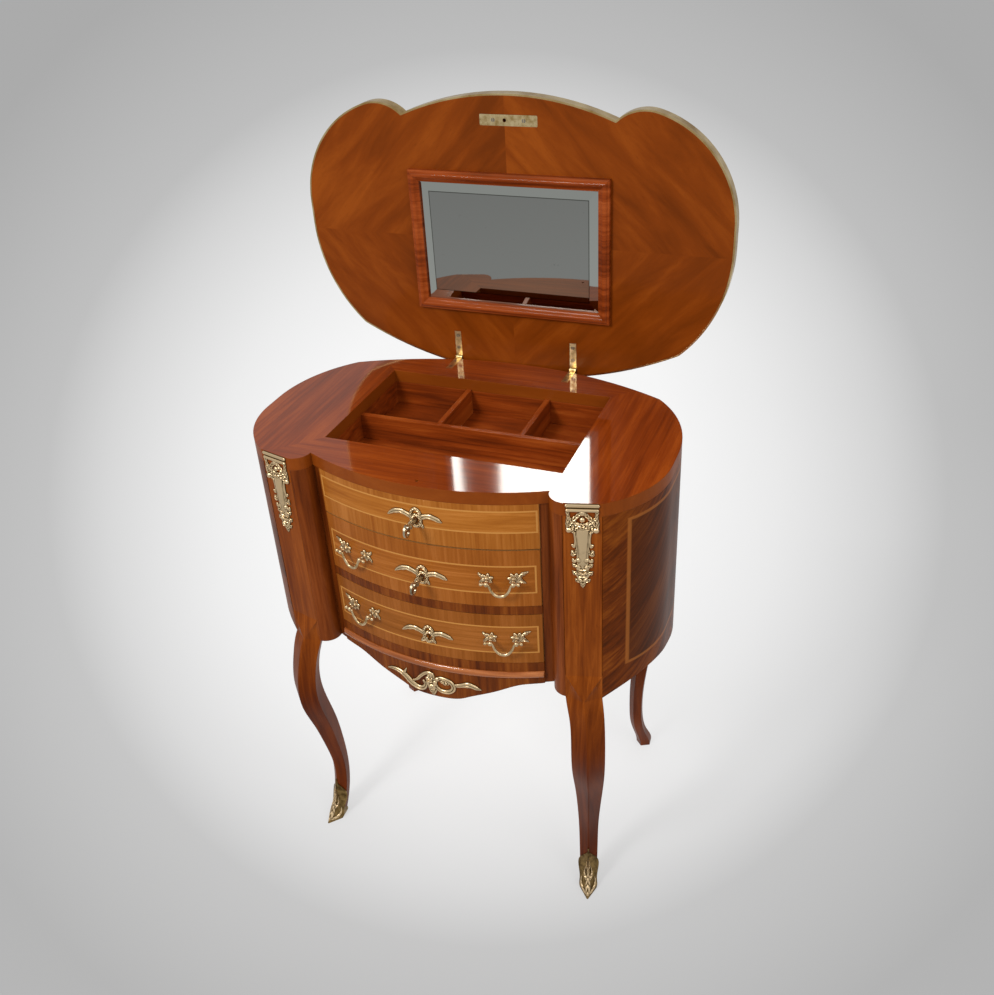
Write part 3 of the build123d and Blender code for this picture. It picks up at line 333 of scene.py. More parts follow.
# a worn polish over kingwood: nearly black streaks in brown, with a soft sheen
dress(
    french_polished(
        "kingwood_veneer_sides", "#82420E", "#642B05", "#421A02", lay_slantwise,
        gloss=0.05, inlay=side_banding,
    ),
    "side_panel_left", "side_panel_right",
)
# the side to the wall has stain and one thin coat: a flat brown
dress(
    french_polished(
        "stained_mahogany_back", "#7A4320", "#643314", "#4A220C", lay_in_order("zxy"), polish=0.25
    ),
    "back_panel",
)

# ---------------------------------------------------------------------------------------
# Drawer fronts and the false front: kingwood veneer with a pale boxwood line round the
# middle panel and a crossband outside it, over an oak ground that shows behind.

BOW_RADIUS = 0.424
BOW_CENTRE_Y = box_of("false_front")[0][1] + BOW_RADIUS
STRINGING = 0.0024
VENEER = 0.0012


def front_banding(low, high, half):
    """Box of stringing on a front, and the oak of the board behind the veneer."""
    def inlay(tree, place, colour):
        split = add_node(tree, "SeparateXYZ", {"Vector": place})
        inset = inside_box(tree, split.outputs["X"], -half, half, split.outputs["Z"], low, high)
        outside = add_node(tree, "Math", {0: inset, 1: 0.0}, operation="LESS_THAN")
        colour = laid_over(tree, colour, "#7A3C10", outside, 0.25)
        edge = add_node(tree, "Math", {0: inset}, operation="ABSOLUTE")
        line = add_node(tree, "Math", {0: edge.outputs[0], 1: STRINGING / 2}, operation="LESS_THAN")
        colour = laid_over(tree, colour, "#BE8442", line)
        # the veneer is the outermost skin of the bow
        from_centre = add_node(tree, "VectorMath", {0: place, 1: (0, BOW_CENTRE_Y, 0)}, operation="SUBTRACT")
        level = add_node(tree, "VectorMath", {0: from_centre.outputs[0], 1: (1, 1, 0)}, operation="MULTIPLY")
        radius = add_node(tree, "VectorMath", {0: level.outputs[0]}, operation="LENGTH")
        behind = add_node(
            tree, "Math", {0: radius.outputs["Value"], 1: BOW_RADIUS - VENEER}, operation="LESS_THAN"
        )
        return laid_over(tree, colour, "#A87A48", behind)
    return inlay


def lay_along_front(low, high, half):
    """Grain left to right inside the stringing, and upright in the crossband."""
    def lay(tree, place):
        split = add_node(tree, "SeparateXYZ", {"Vector": place})
        inset = inside_box(tree, split.outputs["X"], -half, half, split.outputs["Z"], low, high)
        outside = add_node(tree, "Math", {0: inset, 1: 0.0}, operation="LESS_THAN")
        level, upright = (lay_in_order(order)(tree, place) for order in ("xzy", "zxy"))
        return add_node(
            tree, "Mix", {"Factor": outside.outputs[0], 4: level, 5: upright}, data_type="VECTOR"
        ).outputs[1]
    return lay


# the fronts are honey to tan, paler the higher they stand, with fine streaks
for front, tones, stringing_box in (
    ("false_front", ("#BA7836", "#A76624", "#925216"), (0.695, 0.729, 0.165)),
    ("middle_drawer_front", ("#B06C30", "#9C5A1E", "#884A12"), (0.592, 0.638, 0.161)),
    ("lower_drawer_front", ("#A2622A", "#90541C", "#7E4610"), (0.482, 0.530, 0.161)),
):
    dress(
        french_polished(
            "kingwood_veneer_" + front, *tones, lay_along_front(*stringing_box),
            streak=0.005, inlay=front_banding(*stringing_box),
        ),
        front,
    )

# ---------------------------------------------------------------------------------------
# Rails, bead and apron: mahogany cut to the bow and crossbanded, with a rounded bead glued
# between the lower rail and the apron.

# upright streaks of red and dark brown, with a soft sheen
dress(
    french_polished("crossbanded_mahogany_rails", "#844614", "#6C320A", "#4A1E06", lay_in_order("zxy")),
    "middle_rail", "lower_rail", "apron",
)
# the bead is coloured paler than the rails as a painted highlight for the copper shine along its top, and
# its full gloss adds a real shine
dress(
    french_polished(
        "turned_mahogany_bead", "#C28A60", "#A2683E", "#804A22", lay_in_order("xzy"), gloss=1.0
    ),
    "bead_moulding",
)

# ---------------------------------------------------------------------------------------
# Carcass bottom, runners and drawer linings: plain oak, planed and waxed and never stained.
# The sides of a drawer run on the runners, with the bottom and the back between them.

RAY_FLECK_SIZE = (0.02, 0.02, 0.003)


def oak_ray_flecks(tree, place, colour):
    """Pale flecks where the saw crossed the rays."""
    stretched = add_node(tree, "Mapping", {"Vector": place, "Scale": [1 / size for size in RAY_FLECK_SIZE]})
    cells = add_node(tree, "TexVoronoi", {"Vector": stretched.outputs[0], "Scale": 1.0})
    fleck = add_node(
        tree, "MapRange", {"Value": cells.outputs["Distance"], "From Min": 0.18, "From Max": 0.1}
    )
    return laid_over(tree, colour, "#D2A873", fleck, 0.25)


# wax keeps oak straw-coloured and nearly matt
dress(
    french_polished(
        "waxed_oak_linings", "#BE8C52", "#A87440", "#85572C", lay_in_order("yzx"), polish=0.4,
        inlay=oak_ray_flecks,
    ),
    "bottom_board", "drawer_runners",
    "middle_drawer_sides", "middle_drawer_back", "middle_drawer_bottom",
    "lower_drawer_sides", "lower_drawer_back", "lower_drawer_bottom",
)

# ---------------------------------------------------------------------------------------
# Lid: its underside is quartered, four sheets of tulipwood laid slantwise and book-matched
# so that the grain makes a lozenge; a drawn brass strip is pinned round the edge.

LID_MIDDLE_Z = 0.965


def lay_quartered(tree, place):
    """Grain at 45 degrees in each quarter, so that it makes a lozenge round the mirror."""
    centred = add_node(tree, "VectorMath", {0: place, 1: (0, 0, LID_MIDDLE_Z)}, operation="SUBTRACT")
    folded = add_node(tree, "VectorMath", {0: centred.outputs[0]}, operation="ABSOLUTE")
    slanted = add_node(tree, "Mapping", {"Vector": folded.outputs[0], "Rotation": (0, math.radians(-45), 0)})
    # each quarter is another sheet of the same log
    quarter = add_node(tree, "VectorMath", {0: centred.outputs[0]}, operation="SIGN")
    sheet = add_node(tree, "VectorMath", {0: quarter.outputs[0], 1: (0.31, 0, 0.57)}, operation="MULTIPLY")
    return add_node(tree, "VectorMath", {0: slanted.outputs[0], 1: sheet.outputs[0]}).outputs[0]


# shut away from the light, it kept its orange under a satin polish
dress(
    french_polished("quartered_tulipwood_lid", "#8C440E", "#793607", "#662C04", lay_quartered),
    "lid_board",
)

# ---------------------------------------------------------------------------------------
# Mirror: a silvered plate with a ground bevel, held against the lid by four mahogany
# mouldings that are rebated for it and mitred at the corners.

# red mahogany, rubbed until the moulding draws a bright line of light
dress(
    french_polished(
        "moulded_mahogany_frame", "#A04E22", "#883A12", "#602408", lay_in_order("xzy"), polish=0.06
    ),
    "mirror_frame",
)

GLASS_UNDER_FRAME = 0.002
GLASS_BEVEL = 0.015
ARRIS_LINE = 0.0007
SPOTS_PER_METRE = 90.0
glass_low, glass_high = box_of("mirror_glass")
# old silvering: a grey, slightly cloudy reflection
silvering, tree, surface, place = new_finish("silvered_plate_glass")
spots = add_node(
    tree, "TexNoise", {"Vector": place, "Scale": SPOTS_PER_METRE, "Detail": 6.0, "Roughness": 0.7}
)
aged = add_node(tree, "ValToRGB", {"Fac": spots.outputs["Fac"]})
aged.color_ramp.elements[0].position = 0.24
aged.color_ramp.elements[0].color = linear("#868884")
aged.color_ramp.elements[1].position = 0.34
aged.color_ramp.elements[1].color = linear("#A4A6A2")
split = add_node(tree, "SeparateXYZ", {"Vector": place})
inset = inside_box(
    tree, split.outputs["X"], glass_low[0] + GLASS_UNDER_FRAME, glass_high[0] - GLASS_UNDER_FRAME,
    split.outputs["Z"], glass_low[2] + GLASS_UNDER_FRAME, glass_high[2] - GLASS_UNDER_FRAME,
)
# the ground bevel is paler than the plate, with a dark line where the two meet
on_bevel = add_node(tree, "Math", {0: inset, 1: GLASS_BEVEL}, operation="LESS_THAN")
from_arris = add_node(tree, "Math", {0: inset, 1: GLASS_BEVEL}, operation="SUBTRACT")
apart = add_node(tree, "Math", {0: from_arris.outputs[0]}, operation="ABSOLUTE")
arris = add_node(tree, "Math", {0: apart.outputs[0], 1: ARRIS_LINE}, operation="LESS_THAN")
bevelled = laid_over(tree, aged.outputs["Color"], "#C2C6C0", on_bevel)
tree.links.new(laid_over(tree, bevelled, "#6E706A", arris), surface.inputs["Base Color"])
surface.inputs["Metallic"].default_value = 1.0
surface.inputs["Roughness"].default_value = 0.02
dress(silvering, "mirror_glass")

# ---------------------------------------------------------------------------------------
# Corner mounts: sand-cast brass, chased and once gilt, pinned to the front posts. A moulded
# cap, a pierced head of crossed scrolls, a smooth tapering tongue and an acanthus drop.


def flow(points, per_leg=8):
    """A smooth line through points given as (across, up, half-width) in millimetres."""
    knots = np.array(points, float)
    knots = np.vstack([2 * knots[0] - knots[1], knots, 2 * knots[-1] - knots[-2]])
    line = [
        b + 0.5 * t * (c - a + t * (2 * a - 5 * b + 4 * c - d + t * (3 * (b - c) + d - a)))
        for a, b, c, d in zip(knots, knots[1:], knots[2:], knots[3:])
        for t in np.arange(per_leg) / per_leg
    ]
    return np.array(line + [knots[-2]])


NOWHERE = -1e3
THINNEST = 0.3
GROOVE_SHARE = 0.22


def band(points, bulge=0.8, square=2.0, lobes=0, cut=0.3, veins=0, groove=0.0):
    """A modelled band along a line: its edge may be lobed, its face veined or grooved.

    bulge is its height over its half-width, and cut and groove are depths as shares. What it
    gives is a function of places in the sheet, in millimetres, that gives how far each is inside
    the band and how high the face is there.
    """
    line = flow(points)
    span = line[1:, :2] - line[:-1, :2]
    length = np.maximum(np.linalg.norm(span, axis=1), 1e-6)
    begun = np.concatenate([[0], np.cumsum(length)])

    def measure(across, up):
        depth = np.full(across.shape, NOWHERE)
        height = np.zeros(across.shape)
        for i, (step_across, step_up) in enumerate(span):
            from_across, from_up = across - line[i, 0], up - line[i, 1]
            t = np.clip((from_across * step_across + from_up * step_up) / length[i] ** 2, 0, 1)
            half = np.maximum(line[i, 2] + t * (line[i + 1, 2] - line[i, 2]), THINNEST)
            place = (begun[i] + t * length[i]) / begun[-1]
            if lobes:
                half = half * (1 - cut * np.abs(np.cos(math.pi * lobes * place)))
            off = np.hypot(from_across - t * step_across, from_up - t * step_up)
            share = np.clip(off / half, 0, 1)
            rise = bulge * half * (1 - share ** square) ** (1 / square)
            if veins:
                rise = rise * (0.7 + 0.3 * np.cos(2 * math.pi * (veins * place + 0.9 * share)))
            rise = rise * (1 - groove * np.exp(-((share / GROOVE_SHARE) ** 2)))
            nearer = half - off > depth
            depth = np.where(nearer, half - off, depth)
            height = np.where(nearer, rise, height)
        return depth, height
    return measure


def knob(across, up, radius, bulge=0.9):
    """A round boss."""
    return band([(across, up, radius), (across + 0.01, up, radius)], bulge)


CASTING_EDGE = 0.8
LONGEST_SLIDE = 2.0
LEAST_SLOPE = 0.2
SMOOTHINGS = 5


def relief(parts, wrap, span, holes=(), step=0.6, flip=False):
    """Points, faces and wear of a closed casting, from bands laid on a surface.

    wrap places (across, up, out) on the surface, and span is the sheet's reach, across and up.
    """
    across, up = np.meshgrid(
        np.arange(span[0], span[1] + step, step), np.arange(span[2], span[3] + step, step), indexing="ij"
    )
    inside = np.full(across.shape, NOWHERE)
    high = np.zeros(across.shape)
    for part in parts:
        depth, height = part(across, up)
        high = np.where(depth > 0, np.maximum(high, height), high)
        inside = np.maximum(inside, depth)
    for hole in holes:
        inside = np.minimum(inside, -hole(across, up)[0])
    # points just outside slide to the outline, so that it is smooth and not stepped
    slope_across, slope_up = np.gradient(inside, step)
    steep = np.maximum(slope_across ** 2 + slope_up ** 2, LEAST_SLOPE)
    outside = inside <= 0
    slide = np.where(outside, np.clip(inside / steep, -LONGEST_SLIDE, 0), 0)
    across = across - slide * slope_across
    up = up - slide * slope_up
    high = np.where(outside, 0, high)
    # what stands above its surroundings is rubbed bright, and the hollows stay dull
    soft = high
    for _ in range(SMOOTHINGS):
        padded = np.pad(soft, 1, mode="edge")
        soft = sum(padded[i:i + soft.shape[0], j:j + soft.shape[1]] for i in range(3) for j in range(3)) / 9
    worn = np.clip(0.45 + 0.9 * (high - soft) + 0.08 * high, 0, 1)
    cells = np.zeros((across.shape[0] + 1, across.shape[1] + 1), bool)
    solid = ~outside
    cells[1:-1, 1:-1] = solid[:-1, :-1] | solid[1:, :-1] | solid[:-1, 1:] | solid[1:, 1:]
    used = cells[:-1, :-1] | cells[1:, :-1] | cells[:-1, 1:] | cells[1:, 1:]
    number = np.cumsum(used).reshape(used.shape) - 1
    count = int(used.sum())
    points = np.vstack([
        wrap(across[used], up[used], CASTING_EDGE + high[used]),
        wrap(across[used], up[used], 0 * up[used]),
    ])
    # the face, the back behind it, and an edge wherever a neighbour is missing
    faces = []
    for i, j in np.argwhere(cells[1:-1, 1:-1]):
        a, b, c, d = (int(number[m, n]) for m, n in ((i, j), (i + 1, j), (i + 1, j + 1), (i, j + 1)))
        faces.append((a, b, c, d))
        faces.append((d + count, c + count, b + count, a + count))
        if not cells[i + 1, j]:
            faces.append((a + count, b + count, b, a))
        if not cells[i + 2, j + 1]:
            faces.append((b + count, c + count, c, b))
        if not cells[i + 1, j + 2]:
            faces.append((c + count, d + count, d, c))
        if not cells[i, j + 1]:
            faces.append((d + count, a + count, a, d))
    if flip:
        faces = [face[::-1] for face in faces]
    return points, faces, np.concatenate([worn[used], 0 * worn[used]])


SHARP = math.radians(50)


def build(name, body, chunks, material, slot, *stands_for):
    """Join modelled chunks into one mesh that rides on a body and stands for CAD nodes."""
    points, faces, wear, begun = [], [], [], 0
    for chunk_points, chunk_faces, chunk_wear in chunks:
        points.append(chunk_points)
        faces += [tuple(begun + corner for corner in face) for face in chunk_faces]
        wear.append(chunk_wear)
        begun += len(chunk_points)
    mesh = bpy.data.meshes.new(name)
    mesh.from_pydata(np.vstack(points).tolist(), [], faces)
    mesh.attributes.new("worn", "FLOAT", "POINT").data.foreach_set("value", np.concatenate(wear))
    mesh.polygons.foreach_set("use_smooth", [True] * len(mesh.polygons))
    mesh.set_sharp_from_angle(angle=SHARP)
    mesh.materials.append(material)
    made = bpy.data.objects.new(name, mesh)
    bpy.context.collection.objects.link(made)
    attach(made, body)
    if stands_for:
        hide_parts(*stands_for)


def worn_metal(name, bright, dull, roughness, grit, stains_per_metre=120.0, chased=False):
    """Metal whose tarnish lies in stains, or in the hollows where it is chased.

    grit is the spacing of the scratches in metres, coarser than the real ones so that it shows.
    """
    material, tree, surface, place = new_finish(name)
    stains = add_node(
        tree, "TexNoise", {"Vector": place, "Scale": stains_per_metre, "Detail": 5.0, "Roughness": 0.6}
    )
    share = stains.outputs["Fac"]
    if chased:
        wear = add_node(tree, "Attribute", attribute_name="worn")
        share = add_node(tree, "Mix", {"Factor": 0.75, "A": share, "B": wear.outputs["Fac"]}).outputs[0]
    ramp = add_node(tree, "ValToRGB", {"Fac": share})
    ramp.color_ramp.elements[0].position = 0.34
    ramp.color_ramp.elements[0].color = linear(dull)
    ramp.color_ramp.elements[1].position = 0.66
    ramp.color_ramp.elements[1].color = linear(bright)
    tree.links.new(ramp.outputs["Color"], surface.inputs["Base Color"])
    rough = add_node(
        tree, "MapRange",
        {"Value": share, "From Min": 0.3, "From Max": 0.7, "To Min": roughness + 0.14, "To Max": roughness},
    )
    tree.links.new(rough.outputs[0], surface.inputs["Roughness"])
    scratch = add_node(tree, "TexNoise", {"Vector": place, "Scale": 1 / grit, "Detail": 3.0})
    bump = add_node(tree, "Bump", {"Height": scratch.outputs["Fac"], "Strength": 0.2, "Distance": 0.0002})
    tree.links.new(bump.outputs[0], surface.inputs["Normal"])
    surface.inputs["Metallic"].default_value = 1.0
    return material


# fire-gilt brass worn through: high points pale gold, hollows brown
cast_brass = worn_metal("chased_cast_brass", "#F4D6A8", "#604A28", 0.34, 0.001, chased=True)

# the middle of the right post's face, and how far it is turned outward
POST_X = 0.2322
POST_Y = -0.1669
POST_TURN = math.radians(14)


def on_post(side):
    """The flat face of the front post on the right (1) or left (-1), from millimetres."""
    def wrap(across, up, out):
        x = POST_X + (across * math.cos(POST_TURN) + out * math.sin(POST_TURN)) / 1000
        y = POST_Y + (across * math.sin(POST_TURN) - out * math.cos(POST_TURN)) / 1000
        return np.column_stack([side * x, y, up / 1000])
    return wrap


# places on the post are millimetres across it from its middle, and up from the floor
mount_parts = [
    # the cap of two mouldings with a flat between them
    band([(-20.5, 757, 2.4), (20.5, 757, 2.4)], 0.9, 4),
    band([(-20, 753.6, 1.8), (20, 753.6, 1.8)], 0.1),
    band([(-19.8, 750, 2.3), (19.8, 750, 2.3)], 1.2, 3),
    # the tongue, and the shell above it
    band([(0, 716, 8.6), (0, 704, 8.6), (0, 685, 7), (0, 660, 6.2)], 0.42, 2.0),
    band([(-9, 719, 3), (-5, 724, 4), (0, 726, 4.4), (5, 724, 4), (9, 719, 3)],
         0.9, lobes=4, cut=0.2, veins=5),
    band([(0, 726, 4.5), (0, 718, 6.5), (0, 712, 5), (0, 706, 1.4)],
         0.8, lobes=3, cut=0.25, veins=4, groove=0.3),
    # bosses of the head, and the leaf of the drop
    knob(0, 746, 4.4), knob(0, 735.5, 4),
    band([(0, 672, 4), (0, 664, 7.5), (0, 655, 10), (0, 645, 9.5), (0, 635, 6.5), (0, 623.5, 0.8)],
         0.5, lobes=5, cut=0.16, veins=8, groove=0.25),
]
for hand in (-1, 1):
    for points, bulge, lobes, veins, groove in (
        # the pierced head: an upright, two crossed straps and the scroll that ends them
        (((19.6, 748, 2.6), (18.6, 740, 2.4), (19.6, 731, 2.8), (19.8, 724, 2.4)), 0.9, 0, 4, 0),
        (((1, 746, 3), (6.5, 741, 3), (12, 734.5, 3.2), (17.5, 727, 3), (19.5, 719, 2.4)), 0.95, 0, 6, 0.35),
        (((18.5, 738, 2.4), (13.5, 733.5, 3), (8, 728.5, 3), (3, 723, 2.4)), 0.95, 0, 5, 0.35),
        (((12, 725, 2.2), (14, 720, 3), (12, 715, 2.2)), 0.9, 0, 3, 0),
        # the rim of the tongue, and hooks down it
        (((7, 713, 2), (8.5, 704, 2), (7.2, 690, 1.8), (6.3, 676, 1.8), (6.2, 660, 1.6)), 0.9, 0, 0, 0),
        (((10.5, 714, 1.8), (9.8, 706, 1.6), (9.6, 698, 1.7), (11.2, 692, 2.2), (13.4, 694.5, 1.8)),
         0.9, 0, 0, 0),
        (((8, 688, 1.6), (9.6, 682, 2.4), (12.8, 679, 3), (13.6, 684, 2.2)), 0.95, 0, 3, 0),
        (((6.5, 674, 1.6), (9, 669, 2.2), (12, 668, 2.4), (12.8, 671, 1.8)), 0.9, 0, 0, 0),
        # side leaves of the drop
        (((2, 661, 3), (8, 659.5, 4.2), (13, 663, 1.8)), 0.8, 2, 3, 0),
        (((2, 650, 3), (8, 647, 4.4), (13, 650.5, 1.8)), 0.8, 2, 3, 0),
        (((2, 639, 2.4), (6, 635.5, 3.4), (9.5, 638, 1.2)), 0.8, 0, 3, 0),
    ):
        line = [(hand * across, up, half) for across, up, half in points]
        mount_parts.append(band(line, bulge, lobes=lobes, cut=0.2, veins=veins, groove=groove))
    mount_parts += [knob(hand * 18, 719, 4.4), knob(hand * 6, 728, 3), knob(hand * 5, 670.5, 3.8)]
MOUNT_SHEET = (-27, 27, 620, 761)
build(
    "chased_corner_mounts", "carcass",
    [relief(mount_parts, on_post(side), MOUNT_SHEET, flip=side < 0) for side in (1, -1)],
    cast_brass, "gilt_brass", "corner_mounts",
)

# ---------------------------------------------------------------------------------------
# Escutcheons: a cast ring and crest round each keyhole, with a long leaf on either side and
# two small tails below, pinned to the bow.

BOW_RADIUS_MM = 1000 * BOW_RADIUS
ESCUTCHEON_SHEET = (-48, 42, -16, 23)
TOP_KEY_UP = 706
KEY_UP = {"middle_drawer": 608, "lower_drawer": 498}

# millimetres along the bow and up, from the middle of the keyhole
KEYHOLE = [knob(0, 0, 2.9), band([(0, -1, 1.5), (0, -6.5, 1.5)])]


def on_bow(across, up, out):
    """The bowed front, from millimetres along it."""
    turn = across / BOW_RADIUS_MM
    reach = (BOW_RADIUS_MM + out) / 1000
    return np.column_stack([reach * np.sin(turn), BOW_CENTRE_Y - reach * np.cos(turn), up / 1000])


# an oval ring round the keyhole
ring_line = [
    (7.2 * math.cos(turn), -1.5 + 9.3 * math.sin(turn), 2.5) for turn in np.linspace(0, 2 * math.pi, 17)
]
escutcheon_parts = [
    band(ring_line, 1.05, veins=9),
    band([(-7.5, 5, 2.2), (-6.5, 12, 2.4), (-2.5, 17, 2.4), (2.5, 17, 2.4), (6.5, 12, 2.4), (7.5, 5, 2.2)],
         1.0, veins=7),
    band([(-3, 6.2, 1.8), (0, 8, 1.8), (3, 6.2, 1.8)], 0.9),
    knob(0, 18, 2.6),
    band([(-6, 3, 3.4), (-13, 7, 4.2), (-23, 10, 4.4), (-33, 8, 4.2), (-39, 4.5, 3), (-44, 0.5, 1.4)],
         0.6, lobes=4, cut=0.12, groove=0.45),
    band([(6, 3, 3.4), (12, 6.5, 4.2), (20, 8, 4.6), (28, 6, 4.4), (33, 3.5, 3.4), (37, 1, 1.6)],
         0.6, lobes=3, cut=0.12, groove=0.45),
    band([(-5, -6, 3), (-9.5, -8.5, 3.4), (-13, -12.5, 1.2)], 0.8, veins=3),
    band([(5, -6, 2.6), (8.5, -9, 2.4), (9.5, -13, 0.8)], 0.8, veins=3),
    band([(0, -10, 3.2), (0, -13, 1)], 0.8),
]


def escutcheon_at(key_up):
    """One escutcheon round a keyhole."""
    def wrap(across, up, out):
        return on_bow(across, up + key_up, out)
    return relief(escutcheon_parts, wrap, ESCUTCHEON_SHEET, holes=KEYHOLE, step=0.55)


build(
    "chased_top_escutcheon", "carcass", [escutcheon_at(TOP_KEY_UP)],
    cast_brass, "gilt_brass", "top_escutcheon",
)
for drawer, key_up in KEY_UP.items():
    build(
        "chased_" + drawer + "_escutcheon", drawer, [escutcheon_at(key_up)],
        cast_brass, "gilt_brass", drawer + "_escutcheon",
    )

# ---------------------------------------------------------------------------------------
# Apron mount: a ribbed shell between an open C-scroll and a ring, each running out into a
# pointed leaf, cast in one and pinned to the apron.

APRON_SHEET = (-84, 78, 376, 428)

# millimetres along the bow from its middle, and up from the floor
apron_parts = [
    band([(-81, 408.5, 1.6), (-72, 411, 3.2), (-63, 410.5, 4.2), (-54, 407.5, 5), (-47, 402, 5.4),
          (-41, 395.5, 5.6), (-33, 390, 5.2), (-25, 388, 4.8), (-18, 391, 4), (-14.5, 398, 3),
          (-18, 404, 2)], 0.6, groove=0.6),
    band([(-52, 408, 2.8), (-50, 413, 2.2), (-47, 419, 0.9)], 0.8),
    band([(-36, 399.5, 1.6), (-28, 405.5, 2.6), (-22, 413, 3), (-15, 420, 3), (-8, 423.5, 3),
          (-2, 422, 3), (0, 417, 2.2)], 0.85, groove=0.3),
    band([(-6, 420, 5), (-5, 411, 8.5), (-4, 401, 9.5), (-3, 391, 7.5), (-2.5, 380.5, 1.8)],
         0.5, lobes=6, cut=0.16, veins=8, groove=0.2),
    knob(-10, 412, 4), knob(2, 407, 4), knob(-5, 398, 4), knob(6, 414, 4), knob(-4, 421, 3.6),
    band([(3, 413, 3), (11, 417, 3.2), (20, 416, 3.6), (28, 412, 3.8), (32, 404, 4), (29, 396, 4.2),
          (21, 391.5, 4.2), (12, 391.5, 4), (5, 396, 3.4), (2.5, 403, 2.8)], 0.7, groove=0.5),
    band([(13, 412, 3.6), (19, 409.5, 4.6), (26, 410.5, 3)], 0.8, veins=3),
    band([(32, 407, 3), (41, 408.5, 3.8), (49, 411, 5), (56, 412.5, 5.6), (62, 411, 5),
          (68, 408, 3.8), (75, 405, 1.2)], 0.6, lobes=3, cut=0.12, groove=0.5),
]
build(
    "chased_apron_mount", "carcass", [relief(apron_parts, on_bow, APRON_SHEET)],
    cast_brass, "gilt_brass", "apron_mount",
)

# ---------------------------------------------------------------------------------------
# Handles: a cast rosette with leaves behind each of two turned posts; the post ends in an
# eye, in which the cast brass bail swings.

HANDLE_UP = {"middle_drawer": 617, "lower_drawer": 510}
HANDLE_X = 114.0
HALF_BETWEEN_POSTS = 19.0
BAIL_STANDOFF = 13.0
HANDLE_TURN = math.asin(HANDLE_X / BOW_RADIUS_MM)
HANDLE_ALONG = BOW_RADIUS_MM * HANDLE_TURN
ROSETTE_SHEET = (-33, 42, -13, 15)


def handle_frame(hand, handle_up):
    """Middle of a bail's axis in millimetres, the way along it and the way out of the bow."""
    out = Vector((hand * math.sin(HANDLE_TURN), -math.cos(HANDLE_TURN), 0))
    along = Vector((math.cos(HANDLE_TURN), hand * math.sin(HANDLE_TURN), 0))
    middle = Vector((0, 1000 * BOW_CENTRE_Y, handle_up)) + out * (BOW_RADIUS_MM + BAIL_STANDOFF)
    return middle, along, out


def tube_faces(rings, sides):
    """Faces from each ring of points to the next."""
    return [
        (i * sides + j, i * sides + (j + 1) % sides, (i + 1) * sides + (j + 1) % sides, (i + 1) * sides + j)
        for i in range(rings - 1) for j in range(sides)
    ]


def turned(profile, start, axis, sides=20, wear=0.6):
    """A turned piece: (distance along, radius) pairs spun round an axis, in millimetres."""
    axis = Vector(axis).normalized()
    first = axis.orthogonal().normalized()
    second = axis.cross(first)
    points = [
        (Vector(start) + axis * along + (first * math.cos(turn) + second * math.sin(turn)) * radius) / 1000
        for along, radius in profile for turn in np.linspace(0, 2 * math.pi, sides, endpoint=False)
    ]
    return np.array(points), tube_faces(len(profile), sides), np.full(len(points), wear)


# a rosette of petals round each post, and leaves at the outer ends; millimetres from the middle
rosettes = []
for middle, reach, petals in ((HALF_BETWEEN_POSTS + 1, 9.6, 7), (-HALF_BETWEEN_POSTS, 8.4, 6)):
    for turn in np.arange(petals) * 2 * math.pi / petals + 0.3:
        rosettes.append(band([
            (middle + share * reach * math.cos(turn), 0.5 + share * reach * math.sin(turn), half)
            for share, half in ((0.2, 1.6), (0.55, 2.8), (0.85, 2.3), (1.0, 1.2))
        ], 0.75, groove=0.4))
    rosettes.append(knob(middle, 0.5, 3.6, 0.8))
rosettes += [
    band([(26, 4, 3), (31, 8.5, 3.4), (35, 11, 2.4), (39.5, 12.5, 0.7)],
         0.8, lobes=3, cut=0.15, veins=4, groove=0.3),
    band([(26, -1, 3), (30, -3, 3.2), (36, -7, 0.7)], 0.8, lobes=2, cut=0.15, veins=4, groove=0.3),
    band([(-26, 4, 2.6), (-29.5, 7.5, 2.2), (-30.5, 10, 0.8)], 0.8, veins=3),
    band([(-26, -3, 2.6), (-29, -6, 2), (-29.5, -9, 0.8)], 0.8, veins=3),
]
# outward from the axis of the bail: a foot on the rosette, a collar and a ball under the eye
POST_PROFILE = (
    (-13.5, 4.4), (-10.2, 4.4), (-9.4, 3.0), (-8.6, 2.3), (-6.5, 2.0),
    (-5.4, 2.7), (-4.6, 3.1), (-3.8, 2.7), (-3.2, 2.0), (-3.0, 0.3),
)
EYE_PROFILE = (
    (-2.4, 1.8), (-2.7, 2.9), (-2.0, 3.6), (-0.8, 4.0), (0.8, 4.0),
    (2.0, 3.6), (2.7, 2.9), (2.4, 1.8), (-2.4, 1.8),
)
for drawer, handle_up in HANDLE_UP.items():
    chunks = []
    for hand in (-1, 1):
        def wrap(across, up, out, hand=hand, handle_up=handle_up):
            placed = on_bow(across + HANDLE_ALONG, up + handle_up, out)
            return placed * (hand, 1, 1)
        chunks.append(relief(rosettes, wrap, ROSETTE_SHEET, step=0.5, flip=hand < 0))
        swing, along, out = handle_frame(hand, handle_up)
        for post in (-HALF_BETWEEN_POSTS, HALF_BETWEEN_POSTS):
            chunks.append(turned(POST_PROFILE, swing + along * post, out, wear=0.5))
            chunks.append(turned(EYE_PROFILE, swing + along * post, along, wear=0.6))
    name = drawer + "_handle_plates"
    build("chased_" + name, drawer, chunks, cast_brass, "gilt_brass", name)

# bails are handled most, so no tarnish stays: pale, with soft bright lines
cast_bails = worn_metal("cast_brass_bails", "#FAE0B4", "#B49460", 0.26, 0.0012)
BALL_ALONG = 26.5
BALL_RADIUS = 2.9
BAIL_SIDES = 14
BAIL_WEAR = 0.6
